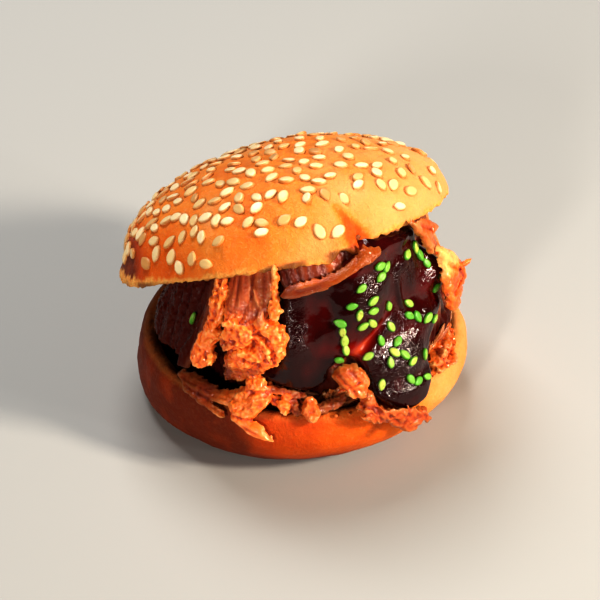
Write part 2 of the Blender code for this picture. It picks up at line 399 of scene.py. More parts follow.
def calculate(tree, operation, first, second):
    return node(tree, "Math", links={0: first, 1: second}, operation=operation).outputs[0]


def ramp(tree, source, *stops):
    made = node(tree, "ValToRGB", links={0: source})
    elements = made.color_ramp.elements
    while len(elements) < len(stops):
        elements.new(0.5)
    for element, (place, colour) in zip(elements, stops):
        element.position = place
        element.color = linear(colour)
    return made.outputs[0]


def blend(tree, share, first, second):
    """Colour that goes from first to second with share; each is a hex colour or a socket."""
    values, links = {}, {0: share}
    for socket, colour in ((6, first), (7, second)):
        if isinstance(colour, str):
            values[socket] = linear(colour)
        else:
            links[socket] = colour
    return node(tree, "Mix", values, links, data_type="RGBA").outputs[2]


def dents(tree, pattern, depth, strength=1.0):
    """Normal of a skin that the pattern raises by up to this depth in mm."""
    values, links = {"Distance": depth * MM}, {"Height": pattern}
    (values if isinstance(strength, float) else links)["Strength"] = strength
    return node(tree, "Bump", values, links).outputs[0]


def crust_material():
    """Milk-bread crust, egg-washed and browned in baking: matt gold where it is pale and deep orange where it baked
    longer, with a fine leathery grain and paler crumb where it is cut. Sauce has soaked into the lower bun. The first
    painted channel holds more than baking: painted shade makes it darker and redder where the buns are turned from the
    lamps, and painted light makes it paler where they fall."""
    made, tree, shader = new_material("baked_milk_bread", (3.0, 1.0, 0.3), Roughness=0.55, IOR=1.4,
                                      Specular_IOR_Level=0.3, Subsurface_Weight=0.1)
    place = place_in(tree)
    # The first channel is how brown the crust is, with painted light and shade mixed in; then the cut and the sauce
    # stain.
    browning_and_shade, cut, soak, _ = painted(tree, "oven_and_shade")
    uneven = remap(tree, noise(tree, place, 6, 3.0), -0.15, 0.15)
    brown = calculate(tree, "ADD", browning_and_shade, uneven)
    gold = ramp(tree, brown, (0.0, "#e8a76c"), (0.3, "#e88e38"), (0.55, "#dd6c1a"), (0.8, "#bf4c0a"), (1.0, "#762a06"))
    leather = noise(tree, place, 0.8, 4.0, Roughness=0.6, Distortion=0.7)
    raised, pale = remap(tree, leather, 0.0, 0.4, 0.52, 0.72), remap(tree, brown, 1.0, 0.15, 0.35, 0.75)
    worn = calculate(tree, "MULTIPLY", raised, pale)
    crumb = ramp(tree, leather, (0.3, "#d98a3e"), (0.7, "#f0b868"))
    bread = blend(tree, cut, blend(tree, worn, gold, "#ecb276"), crumb)
    drive(tree, shader, Base_Color=blend(tree, soak, bread, "#4a0f07"), Roughness=remap(tree, soak, 0.55, 0.25),
          Normal=dents(tree, leather, 0.3))
    return made


def white_seed_material():
    """Hulled sesame, lightly toasted: smooth waxy cream, a little browner on some and at the rims."""
    made, tree, shader = new_material("hulled_sesame", (1.2, 0.8, 0.4), Roughness=0.42, IOR=1.45,
                                      Subsurface_Weight=0.15)
    tone, rim, _, _ = painted(tree, "tone")
    shade = ramp(tree, tone, (0.0, "#f0dcb4"), (0.6, "#e3c48e"), (1.0, "#c8945a"))
    drive(tree, shader, Base_Color=blend(tree, rim, shade, "#c98c4c"))
    return made


def green_seed_material():
    """Wasabi-coated sesame: spring green, yellower on some, greener at the rim, with brown flecks."""
    made, tree, shader = new_material("green_sesame", (0.6, 0.8, 0.3), Roughness=0.4, IOR=1.45, Subsurface_Weight=0.1)
    tone, rim, _, _ = painted(tree, "tone")
    shade = ramp(tree, tone, (0.0, "#62a83c"), (0.5, "#93ba52"), (1.0, "#bdc060"))
    fleck = remap(tree, noise(tree, place_in(tree), 0.7, 2.0), 0.0, 0.5, 0.6, 0.7)
    drive(tree, shader, Base_Color=blend(tree, rim, blend(tree, fleck, shade, "#7f7a22"), "#4c9422"))
    return made


def beef_material():
    """Slow-cooked beef pulled into fibres: brown-pink along the grain, orange and crumbly where it tore, wet with fat
    and thin sauce. Painted shade makes it dark in the gaps and hollows, and the dark sauce colour also stands for
    painted shade where pieces lie in shade."""
    made, tree, shader = new_material("pulled_beef", (1.2, 0.35, 0.15), Roughness=0.42, IOR=1.36,
                                      Subsurface_Weight=0.08, Coat_Weight=0.8, Coat_Roughness=0.12, Coat_IOR=1.5)
    place = place_in(tree)
    crumbly, raised, tone, sauce_and_shade = painted(tree, "meat")
    # How raised the meat is sets its colour: painted shade darkens the gaps and hollows, and the crests are paler.
    high = calculate(tree, "ADD", raised, remap(tree, noise(tree, place, 1.3, 3.0), -0.12, 0.12))
    along = ramp(tree, high, (0.1, "#501a0c"), (0.4, "#a04424"), (0.6, "#bc5e36"), (0.9, "#d88e5c"))
    torn = ramp(tree, high, (0.1, "#a83408"), (0.38, "#f06c1c"), (0.6, "#fa8630"), (0.85, "#fb9a48"), (1.0, "#fdb870"))
    toned = blend(tree, tone, blend(tree, crumbly, along, torn), "#7a2c12")
    beads = noise(tree, place, 0.6, 1.0, Distortion=0.8)
    # The dark sauce colour is partly sauce and partly painted shade.
    drive(tree, shader, Base_Color=blend(tree, sauce_and_shade, toned, "#400604"), Roughness=remap(tree, sauce_and_shade, 0.42, 0.25),
          Normal=dents(tree, noise(tree, place, 0.45, 2.0), 0.2, 0.7), Coat_Normal=dents(tree, beads, 0.2),
          Coat_Weight=remap(tree, sauce_and_shade, 0.8, 0.0), Specular_IOR_Level=remap(tree, sauce_and_shade, 0.5, 0.08))
    return made


def sauce_material():
    """Reduced barbecue sauce: almost black wine-red where it is thick, clear orange-red where it is a film over meat,
    with a wet gloss that small ripples break into threads."""
    made, tree, shader = new_material("barbecue_sauce", Roughness=0.08, IOR=1.37, Coat_Weight=0.4, Coat_Roughness=0.04)
    film, wrinkled, _, _ = painted(tree, "film")
    depth = ramp(tree, film, (0.0, "#2c0505"), (0.3, "#580705"), (0.55, "#86180a"), (0.8, "#b5420f"), (1.0, "#cf7030"))
    skin = dents(tree, noise(tree, place_in(tree), 0.9, 1.6, Distortion=1.8), 0.28, wrinkled)
    drive(tree, shader, Base_Color=depth, Normal=skin, Coat_Normal=skin)
    return made


# ---------------------------------------------------------------- bun


def crown_matrix():
    turn = Matrix.Rotation(CROWN_LEAN_TOWARDS, 4, "Z")
    return Matrix.Translation(CROWN_CENTRE) @ turn @ Matrix.Rotation(CROWN_LEAN, 4, "Y") @ turn.inverted()


def cut_face_room(x, y, z):
    """How far a place is below the cut face of the upper bun."""
    normal = crown_matrix().col[2]
    return (CROWN_CENTRE.x - x) * normal.x + (CROWN_CENTRE.y - y) * normal.y + (CROWN_CENTRE.z - z) * normal.z


def cut_face_height(angle):
    """Height of the upper bun's cut face over the side of the heap."""
    angle = math.radians(angle)
    return cut_face_room(29 * math.cos(angle), 29 * math.sin(angle), 0) / crown_matrix()[2][2]


# How far the front edge of the upper bun hangs down: a broad flap, the gap of the tear, then a torn tongue.
DROOP_ANGLES = (-104, -95, -90, -85, -80, -75, -72.5, -70, -67.5, -65, -62, -60, -57, -54)
DROOPS = (0, 0.6, 1.1, 1.5, 1.7, 2.4, 2.0, 0.6, 0.2, 1.6, 2.3, 1.3, 0.6, 0)
# The crease of the tear runs down and to the right.
TEAR_TOP = np.array([13.6, -29.6, 7.9])
TEAR_FOOT = np.array([17.0, -31.6, -0.6])


def make_crown(material):
    """Shaped upright in its own frame, then tilted onto the heap."""
    bpy.ops.mesh.primitive_uv_sphere_add(segments=128, ring_count=64, radius=CROWN_RADIUS * MM)
    crown = bpy.context.object
    crown.name = crown.data.name = "bun_crown_bread"
    open_mesh(crown)
    bpy.ops.mesh.bisect(plane_co=(0, 0, 0), plane_no=(0, 0, 1), use_fill=True, clear_inner=True)
    bpy.ops.mesh.select_all(action="SELECT")
    bpy.ops.transform.resize(value=(1, 1, CROWN_HEIGHT / CROWN_RADIUS), center_override=(0, 0, 0))
    close_mesh()
    fuse(crown, 0.42)
    soften(crown, 3)
    for size, depth in ((17, 1.2), (5, 0.35), (1.5, 0.14)):
        roughen(crown, size, depth)

    points = points_of(crown)
    x, y, z = points.T  # these follow the points as they move
    angle, radius = around(points)
    edge = step((5 - z) / 5)  # 1 at the cut, 0 above 5 mm
    outer = step((radius - 24) / 8)
    points[:, 2] -= np.interp(angle, DROOP_ANGLES, DROOPS) * edge * outer
    outwards = np.stack([x, y, 0 * z], 1) / np.maximum(radius, 1)[:, None]
    # The lower side of the tilted dome flares out to its cut edge.
    left = bump(turn_between(angle, -175) / 48)
    points[:, 2] -= 1.3 * left * edge * outer
    points += outwards * (2.2 * left * edge**1.5 * outer)[:, None]
    tear = TEAR_FOOT - TEAR_TOP
    along = np.clip(((points - TEAR_TOP) @ tear) / (tear @ tear), 0, 1)
    away = np.linalg.norm(points - (TEAR_TOP + along[:, None] * tear), axis=1)
    pressed = 0.8 * bump(away / 1.1) * step(0.4 + along) + 0.6 * bump(away / 4.5) * (angle > -62) * outer
    points -= outwards * pressed[:, None]
    # The cut is finely toothed, and coarser where it tore.
    torn = bump((angle + 63) / 4.5)
    toothed = grain(points, 1.0, 12) + 0.6 * grain(points, 2.4, 13)
    points[:, 2] += (0.4 + 0.5 * torn) * toothed * step((1.2 - z) / 0.8) * outer
    points -= outwards * (0.7 * torn * grain(points, 1.3, 14) * step((3 - z) / 2) * outer)[:, None]
    set_points(crown, points)
    soften(crown, 1)

    points = points_of(crown)
    x, y, z = points.T
    hung = np.interp(around(points)[0], DROOP_ANGLES, DROOPS) * step((5 - z) / 5)
    frayed = step((1.1 + 0.9 * grain(points, 1.3, 1) - z - hung) / 0.6)
    near = np.clip(1.5 * bump(away / (0.8 + 1.5 * along)), 0, 1) * step(0.45 + along)
    # Darker and redder to the left: partly real baking, partly painted shade of the lamp at the right. Darker in the
    # hollows of the crust as painted shade, and browner along the crease of the tear and at the torn edge.
    browning_and_shade = 0.34 - 0.01 * x + 0.12 * grain(points, 11, 2) + 0.55 * near - 0.24 * relief(crown, 8)
    # Paler at the front right.
    browning_and_shade -= 0.15 * step((-y - 20) / 12) * step((x + 5) / 20)
    browning_and_shade += 0.35 * torn * step((4 - z) / 2)
    # Painted light: paler on the upper left, where the light from above falls.
    browning_and_shade -= 0.22 * step((y + 14) / 18) * step((6 - x) / 14)
    # Paler on the left, a little in from the edge.
    browning_and_shade -= 0.24 * step((-x - 6) / 8) * bump((radius - 27) / 6)
    browning_and_shade = np.where(near + torn > 0.1, np.minimum(browning_and_shade, 0.66), browning_and_shade)
    # Painted shade: much darker at the far left, which is turned away from the lamps.
    browning_and_shade += 0.52 * step((-x - 27) / 8)
    stain = 0.7 * step((0.2 - z) / 0.5) * step(0.5 + 1.5 * grain(points, 6, 3))
    paint(crown, "oven_and_shade", browning_and_shade, frayed * (1 - 0.8 * torn), stain)
    set_points(crown, moved(points, crown_matrix()))
    finish(crown, material, "baked_crust", "bun_crown")
    return crown


def make_heel(material):
    """A shallow cup turned from its profile, then pushed off centre at the foot."""
    profile = [(0, 0), (18, 0), (25.6, 0)]
    for k in range(1, 9):
        turn = math.radians(-90 + 90 * k / 8)
        profile.append((25.6 + 10.4 * math.cos(turn), 11 + 11 * math.sin(turn)))
    for k in range(1, 6):
        turn = math.radians(90 * k / 5)
        profile.append((33.4 + 2.6 * math.cos(turn), 11 + 5.6 * math.sin(turn)))
    profile += [(32.2, 15.9), (30.8, 12.4), (29, 9.2), (25, 7.4), (12, 7), (0, 7)]
    edges = [(k, k + 1) for k in range(len(profile) - 1)]
    heel = new_piece("bun_heel_bread", [(r, 0, z) for r, z in profile], (), edges)
    open_mesh(heel)
    bpy.ops.mesh.spin(steps=128, angle=2 * math.pi, center=(0, 0, 0), axis=(0, 0, 1))
    bpy.ops.mesh.select_all(action="SELECT")
    bpy.ops.mesh.remove_doubles(threshold=0.02 * MM)
    bpy.ops.mesh.normals_make_consistent(inside=False)
    close_mesh()
    fuse(heel, 0.55)
    soften(heel, 4)
    for size, depth in ((19, 0.9), (5, 0.3), (1.6, 0.1)):
        roughen(heel, size, depth)

    points = points_of(heel)
    x, _, z = points.T  # these follow the points as they move
    slide = np.clip(1 - z / 11, 0, 1) ** 1.5
    points[:, 0] -= 5.4 * slide
    points[:, 1] += 1.8 * slide
    points[:, 2] = np.where(z < 0.45, 0, z)  # the baked foot is flat
    set_points(heel, points)

    degrees, radius = around(points)
    inside = step((33.2 - radius) / 1.2) * step(z - 6)
    top = step(z - 15.2)
    # Darker and redder to the left and paler on the right: partly real baking, partly painted light and shade of the
    # lamp at the right. Darker towards the foot, and darker in the hollows of the crust as painted shade.
    browning_and_shade = 0.8 - 0.011 * x - 0.3 * step((x - 16) / 18) + 0.14 * grain(points, 12, 5)
    browning_and_shade += 0.4 * step((7 - z) / 7) - 0.2 * relief(heel, 8)
    soak = np.maximum(inside * step(0.75 - x / 60 + 0.6 * grain(points, 7, 6)), 0.75 * inside)
    # sauce has stained the torn lip of the opening, and a patch of the side below it
    lip = step((34.2 - radius + 0.8 * grain(points, 1.3, 9)) / 0.8) * top
    lip *= step((-38 - degrees) / 8) * step(0.8 + 1.2 * grain(points, 5, 8))
    patch = bump((degrees + 66) / 3.2) * bump((z - (degrees + 66) * 0.33 - 12) / 1.3) * (radius > 34.5)
    stain = np.maximum(soak * (1 - 0.6 * top), np.maximum(0.75 * lip, 0.6 * patch))
    paint(heel, "oven_and_shade", browning_and_shade, np.maximum(inside, 0.2 * top), stain)
    finish(heel, material, "baked_crust", "bun_heel")


# ---------------------------------------------------------------- seeds


# Length, width and thickness.
WHITE_SEED = (3.5, 2.35, 0.95)
GREEN_SEED = (2.9, 1.8, 0.95)
SEED_TRIES = 9000
SEED_ROOM = 3.45  # least distance between the middles of two white seeds
SEEDED_RADIUS = 35.4
GREEN_ROOM = 1.9


def seed_shape(length, width, thick):
    """One sesame seed, a flat drop that is blunt at one end, pointed at the other and a little dished on top: its
    points, its faces and how near the rim each point is."""
    bpy.ops.mesh.primitive_uv_sphere_add(segments=12, ring_count=8, radius=0.5 * MM)
    seed = bpy.context.object
    points = points_of(seed)
    x, y, z = points.T  # these follow the points as they move
    points[:, 1] = y * (1 - 0.42 * step((x - 0.02) / 0.5))
    flat = np.sign(z) * 0.5 * (1 - (1 - np.minimum(np.abs(z) / 0.5, 1)) ** 1.7)
    points[:, 2] = flat * (1 - 0.25 * step((x - 0.1) / 0.4))
    points[:, 2] -= 0.1 * (z > 0.3) * bump(np.hypot(x, y / 0.6) / 0.28)
    set_points(seed, points * (length, width, thick))
    points, faces = points_of(seed), triangles_of(seed)
    reach = np.hypot(points[:, 0] / points[:, 0].max(), points[:, 1] / points[:, 1].max())
    bpy.data.objects.remove(seed)
    return points, faces, step((reach - 0.72) / 0.25)


def scatter(name, shape, places, tones):
    """One mesh with a copy of the seed at each place: the attribute tone holds each copy's own shade, and how near
    its rim a point is."""
    points, faces, rim = shape
    all_points = np.concatenate([moved(points, place) for place in places])
    made = new_piece(name, all_points, np.concatenate([faces + k * len(points) for k in range(len(places))]))
    paint(made, "tone", np.repeat(tones, len(points)), np.tile(rim, len(places)))
    return made


def lying(point, normal, heading, size, tip):
    """Matrix of a thing that lies on a surface with its length towards heading."""
    side = normal.cross(heading).normalized()
    forward = side.cross(normal)
    turn = Matrix((forward, side, normal)).transposed().to_4x4()
    return Matrix.Translation(point) @ turn @ Matrix.Rotation(tip, 4, "X") @ Matrix.Scale(size, 4)


def any_way(rng):
    return Vector((rng.gauss(0, 1), rng.gauss(0, 1), rng.gauss(0, 1)))


def crown_seed_density(x, y):
    """Seeds lie thick on the top and the left, and thin out at the front and the right, in the crown's frame."""
    radius = math.hypot(x, y)
    angle = math.degrees(math.atan2(y, x))
    front = bump((angle + 85) / 38) * step((radius - 23) / 7)
    return (1 - 0.5 * step((radius - 29) / 7)) * (1 - 0.97 * front) * (1 - 0.93 * step((x - 8) / 9))


# Seeds that lie by themselves, in the crown's frame.
STRAY_SEEDS = (
    (-2, -33.6), (-1.6, -32.4), (3, -32.4), (8.2, -28.8), (13, -32.6), (-17.4, -30.2), (-14.6, -32.4),
    (-20.6, -28.8), (18.8, -21.8), (18.6, -24), (23, -22), (25.4, -20.6), (28.6, -19), (25.8, -24),
    (34, -9), (33.4, -5.5), (11, -24.6), (8.6, -27), (16, -3.5), (22, -7.8),
)


def make_white_seeds(crown, material):
    rng = random.Random(11)
    tree = tree_of(crown)
    matrix = crown_matrix()
    down = matrix.to_3x3() @ Vector((0, 0, -1))
    taken, places = list(STRAY_SEEDS), []
    for _ in range(SEED_TRIES):
        x, y = rng.uniform(-36, 36), rng.uniform(-36, 36)
        if math.hypot(x, y) > SEEDED_RADIUS or rng.random() > crown_seed_density(x, y):
            continue
        # the dome is steep near its edge, where the same room on the crust is less in plan
        room = SEED_ROOM * math.sqrt(max(1 - (math.hypot(x, y) / 36) ** 2, 0.2)) ** 0.5
        if all(math.hypot(x - a, y - b) > room for a, b in taken):
            taken.append((x, y))
    for x, y in taken:
        hit, normal, _, _ = tree.ray_cast(matrix @ Vector((x, y, 40)), down)
        if hit:
            places.append(lying(hit + normal * 0.16, normal, any_way(rng), rng.uniform(0.9, 1.12), rng.gauss(0, 0.16)))
    tones = [rng.random() ** 1.5 for _ in places]
    seeds = scatter("white_sesame", seed_shape(*WHITE_SEED), places, tones)
    finish(seeds, material, "baked_crust")


# ---------------------------------------------------------------- beef


def clay(name, flakes, lumps=(), strands=(), voxel=0.24):
    """Flakes, balls and tapering strands melted into one skin. A lump is x, y, z and radius; a strand is its points
    and its first, middle and last radius."""
    parts = [flake(*row) for row in flakes]
    for *centre, radius in lumps:
        bpy.ops.mesh.primitive_ico_sphere_add(subdivisions=2, radius=radius * MM, location=Vector(centre) * MM)
        parts.append(bpy.context.object)
    if strands:
        curve = bpy.data.curves.new(name, "CURVE")
        curve.dimensions = "3D"
        curve.bevel_depth = MM
        curve.bevel_resolution = 1
        curve.resolution_u = 5
        curve.use_fill_caps = True
        for points, radii in strands:
            spline = curve.splines.new("NURBS")
            spline.points.add(len(points) - 1)
            for k, point in enumerate(points):
                spline.points[k].co = (*[c * MM for c in point], 1)
                spline.points[k].radius = float(np.interp(k / (len(points) - 1), (0, 0.5, 1), radii))
            spline.order_u = min(4, len(points))
            spline.use_endpoint_u = True
        pick(add(name, curve))
        bpy.ops.object.convert(target="MESH")
        parts.append(bpy.context.object)
    piece = join(name, parts)
    fuse(piece, voxel)
    soften(piece, 3)
    return piece


def beef_finish(piece, material, crumbly, tone, sauce_and_shade, *nodes, contrast=1.0, lighter=0.0):
    """Stores how torn, how raised, how brown and how saucy the meat is at each point. The sauce share also carries
    painted shade, and contrast sets how strongly the hollows are painted dark.
    """
    raised = relief(piece, 8) / 0.4 + relief(piece, 50) / 1.2
    raised = 0.5 + 0.5 * contrast * raised + lighter + 0.22 * grain(points_of(piece), 4, 60)
    paint(piece, "meat", crumbly, raised, tone, sauce_and_shade)
    finish(piece, material, "pulled_beef", *nodes)


def crumple(piece, depth, share, seed):
    """Torn meat: low lumps three millimetres wide, then smaller folds, then a fine grain."""
    for size, height, make in ((3.0, 0.55, folds), (1.4, 0.26, folds), (0.8, 0.18, grain), (0.5, 0.11, grain)):
        push(piece, share * depth * height * make(points_of(piece), size, seed + round(10 * size)))


def groove(piece, across, depth, share, size, seed):
    """Grain of the meat: fine grooves that repeat in the direction across and hardly change in any other."""
    across = np.array(Vector(across).normalized())
    points = points_of(piece)
    along = across * (points @ across)[:, None]
    spot = along + 0.06 * (points - along)
    push(piece, share * depth * (grain(spot, size, seed) + 0.6 * grain(spot, size * 2.5, seed + 1)))


def make_core(material):
    """What is seen deep between the pieces. Gives back a smooth copy of its surface for others to lie on."""
    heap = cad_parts["beef_heap"]
    core = add("beef_core", heap.data.copy())
    core.data.name = core.name
    core.data.materials.clear()
    core.matrix_world = heap.matrix_world
    settle(core)
    open_mesh(core)
    bpy.ops.mesh.remove_doubles(threshold=0.01 * MM)
    bpy.ops.mesh.normals_make_consistent(inside=False)
    close_mesh()
    fuse(core, 0.6)
    soften(core, 5)

    points = points_of(core)
    angle, radius = around(points)
    side = step((radius - 20) / 8)
    # set back all round, and deeper at the left, where the meat has fallen away
    back = 1.2 + 4.6 * bump(turn_between(angle, -162) / 30)
    points[:, :2] *= 1 - (back * side / np.maximum(radius, 1))[:, None]
    set_points(core, points)
    smooth_tree = tree_of(core)
    # and once more under the front edge of the upper bun, which hangs in front of it
    under = step((points[:, 2] - 40) / 3) * bump((angle + 80) / 30) * side
    points[:, :2] *= 1 - (4.2 * under / np.maximum(radius, 1))[:, None]
    set_points(core, points)
    push(core, 1.3 * folds(points_of(core) * (1, 1, 0.45), 4.5, 3, 0.6))
    push(core, 0.7 * folds(points_of(core) * (1, 1, 0.2), 1.6, 5, 0.4))

    points = points_of(core)
    # Darker at the left and low down between the pieces, where they lie in shade: sauce and painted shade.
    sauce_and_shade = 0.5 + 0.35 * step((-150 - around(points)[0]) / 25)
    sauce_and_shade += 0.4 * grain(points, 8, 7) + 0.6 * step((28 - points[:, 2]) / 5)
    beef_finish(core, material, 0.15, 0.3, np.clip(sauce_and_shade, 0.15, 0.97), "beef_heap")
    return smooth_tree


BUNDLE_LENGTH = 10  # mm
BUNDLE_STRANDS = 12
BUNDLES = 6
SHRED_TRIES = 230
OPEN_FRONT = (-112, -8)  # the larger pieces cover it, and leave room for shreds only low down
FALLEN_AWAY = -160  # from here to the open front there are no shreds
FINE_ALONG = (1, 1, 0.2)  # fibres vary five times slower along their length
LONG_FACES = (1, 1, 0.45)  # squeezes a bundle while it is melted, so that its faces come out long


def fibre_bundle(number):
    """A shred of beef along Z, thin tapering strands side by side, some shorter: its points, with z as a share of
    its length, its faces and how raised each point is."""
    rng = random.Random(40 + number)
    parts = []
    for _ in range(BUNDLE_STRANDS):
        bpy.ops.mesh.primitive_uv_sphere_add(segments=8, ring_count=10, radius=MM)
        strand = bpy.context.object
        strand.scale = (rng.uniform(0.35, 0.62), rng.uniform(0.3, 0.5), rng.uniform(3.2, 5.0))
        centre = (rng.uniform(-1.9, 1.9), rng.uniform(-0.45, 0.45), 5 + rng.uniform(-1.4, 1.4))
        strand.location = Vector(centre) * MM
        strand.rotation_euler = (rng.gauss(0, 0.05), rng.gauss(0, 0.1), 0)
        parts.append(strand)
    bundle = join("bundle", parts)
    set_points(bundle, points_of(bundle) * LONG_FACES)
    fuse(bundle, 0.34)
    set_points(bundle, points_of(bundle) / LONG_FACES)
    push(bundle, 0.3 * folds(points_of(bundle) * FINE_ALONG, 0.8, number))
    push(bundle, 0.12 * grain(points_of(bundle), 0.8, number + 5))
    points, faces, raised = points_of(bundle), triangles_of(bundle), 0.5 + relief(bundle, 8) / 0.4
    points[:, 2] /= BUNDLE_LENGTH
    bpy.data.objects.remove(bundle)
    return points, faces, raised


def laid(points, path, outs, width, twist):
    """Points of a bundle that follows the path, with its back towards the core."""
    knots = np.linspace(0, 1, len(path))
    path, outs = np.array(path), np.array(outs)
    t = np.clip(points[:, 2], 0, 1)
    centre = np.stack([np.interp(t, knots, path[:, k]) for k in range(3)], 1)
    out = np.stack([np.interp(t, knots, outs[:, k]) for k in range(3)], 1)
    tangent = path[-1] - path[0]
    tangent /= np.linalg.norm(tangent)
    side = np.cross(np.broadcast_to(tangent, out.shape), out)
    across = points[:, 0] * math.cos(twist) - points[:, 1] * math.sin(twist)
    outward = points[:, 0] * math.sin(twist) + points[:, 1] * math.cos(twist)
    placed = centre + side * (across * width)[:, None] + out * (outward * width)[:, None]
    return placed + tangent * ((points[:, 2] - t) * BUNDLE_LENGTH)[:, None]


def make_shreds(tree, material):
    """Bundles of fibres laid over the core all round, steeper or flatter by chance."""
    rng = random.Random(5)
    shapes = [fibre_bundle(k) for k in range(BUNDLES)]
    all_points, all_faces, meat = [], [], []
    count = 0
    for _ in range(SHRED_TRIES):
        angle = rng.uniform(-180, 180)
        ceiling = cut_face_height(angle)
        if ceiling < 22:
            continue
        height = rng.uniform(16, ceiling - 3)
        in_front = OPEN_FRONT[0] < angle < OPEN_FRONT[1]
        if in_front:
            height = rng.uniform(14, 19)
        if FALLEN_AWAY < angle < OPEN_FRONT[0]:
            continue
        lean = rng.gauss(0, 0.6) + (1.2 if in_front else 0)
        length = rng.uniform(7, 15)
        path, outs = [], []
        depth = rng.uniform(-0.6, 0.5)
        for share in (-0.5, -0.25, 0, 0.25, 0.5):
            a = math.radians(angle + math.degrees(math.sin(lean) * length * share / 30))
            out = Vector((math.cos(a), math.sin(a), 0))
            level = Vector((0, 0, height + math.cos(lean) * length * share))
            hit = tree.ray_cast(out * OUTSIDE + level, -out)[0]
            if not hit:
                break
            path.append(hit + out * (depth + 0.5 * abs(share)))
            outs.append(out)
        if len(path) < 5:
            continue
        points, faces, raised = rng.choice(shapes)
        all_points.append(laid(points, path, outs, rng.uniform(0.6, 1.0), rng.gauss(0, 0.3)))
        all_faces.append(faces + count)
        count += len(points)
        crumbly, tone = rng.random() ** 2 * 0.9, rng.uniform(0, 0.5)
        # Painted shade: shreds in the hollow at the left are darker, besides their sauce.
        recess_shade = bump(turn_between(angle, -158) / 32)
        sauce_and_shade = np.clip(rng.uniform(0.0, 0.4) + 0.75 * recess_shade, 0, 0.93)
        meat.append(np.stack(np.broadcast_arrays(crumbly, raised, tone, sauce_and_shade)))
    shreds = new_piece("beef_shreds", np.concatenate(all_points), np.concatenate(all_faces))
    paint(shreds, "meat", *np.concatenate(meat, 1))
    finish(shreds, material, "pulled_beef")


# Each row is a flake: its outline, as an angle and a height for each corner, then radius, height, slope, rise, swell
# and raggedness, and then its creases, each a line, half width and depth, and its seed.

# Broad fibres above, and below them the torn end, three crumbly flakes over a darker ledge.
FRONT_CLUMP = (
    ((-126, 50, -120, 50, -116.5, 41.5, -116, 38, -119.5, 38, -121.5, 41), 29.6, 41, -0.9, 1.6, 1.8, 0.1),
    ((-122.5, 50, -113.5, 50, -111, 44, -110, 41.5, -111, 40.5, -112, 37, -116, 36, -119, 37.5, -119.5, 40,
     -118.5, 42), 30.5, 41, -0.9, 1.7, 2.2, 0.1, (((-119, 50, -115.5, 41), 0.4, 0.35), ((-120, 40.6,
     -113, 40.3), 0.25, 0.35), ((-120, 39.9, -113, 39.6), 0.25, 0.35), ((-120, 39.1, -113, 38.8), 0.25,
     0.35), ((-120, 38.4, -113, 38.1), 0.25, 0.35))),
    ((-113.3, 50, -104, 50, -102, 43.5, -103, 41.5, -105, 40, -108, 40, -110, 41.5, -111, 44), 30.5, 41,
     -0.9, 1.6, 2.4, 0.1, (((-108, 50, -105, 41), 0.4, 0.25),), 3),
    ((-110.5, 44, -109.3, 44, -106.5, 42.3, -103.8, 41.2, -104.5, 40.4, -107.5, 41.6), 31.8, 41, -0.9, 0.8,
     0.5, 0.2, (), 5),
    ((-104.5, 50, -100.9, 50, -99.6, 46.5, -99.9, 45, -98.4, 43.2, -97.7, 41.6, -99, 40.3, -101.6, 40.3,
     -103.2, 41.3, -102.7, 43, -102.8, 45), 31.0, 43, -0.75, 1.2, 1.0, 0.3, (), 7),
    ((-115, 40, -111.5, 42, -108, 43, -104.5, 42, -105.5, 38, -107, 36, -112, 35.5, -115, 37), 32.4, 38,
     -0.7, 1.6, 2.0, 0.2, (), 9),
    ((-107.5, 38.5, -106.5, 41, -104, 41.5, -101.5, 39.3, -98, 38.2, -96, 38, -95.5, 35, -96, 33, -96.5, 31,
     -98.5, 29.5, -101, 28.5, -105, 28.7, -107, 32), 32.6, 34, -0.1, 3.2, 2.6, 0.22, (((-105, 37,
     -102.5, 35.8, -100.5, 34.3, -99.3, 31), 0.55, 1.3), ((-107, 34.5, -104, 33.5, -102.5, 31), 0.5, 0.7)),
     11),
    ((-119.5, 34.5, -118, 37, -113, 38.5, -109, 38.8, -106.4, 38, -105.6, 35.6, -108, 33.4, -111, 33,
     -113, 31.7, -117, 31, -120, 32), 33.2, 34, -0.1, 3.0, 2.2, 0.25, (((-118, 33.5, -114, 34.2), 0.5,
     0.8),), 13),
    ((-118.5, 29, -116, 31.5, -112, 32.5, -108, 33.2, -105.5, 33, -103, 32, -102.5, 30.5, -106, 28.6,
     -110, 27.8, -113, 27, -114, 25.5, -116, 26, -118, 27), 33.4, 31, 0.05, 2.8, 2.4, 0.25, (((-118, 30,
     -115.5, 27.5), 0.35, 0.9), ((-111, 30.5, -105, 29.8), 0.6, 0.5)), 17),
    ((-119, 26, -120.5, 21.5, -116, 21.7, -111, 23, -107, 24.5, -101, 28, -104, 29, -113, 28.5), 32.4, 26,
     0.25, 1.8, 1.4, 0.3, (), 19),
)

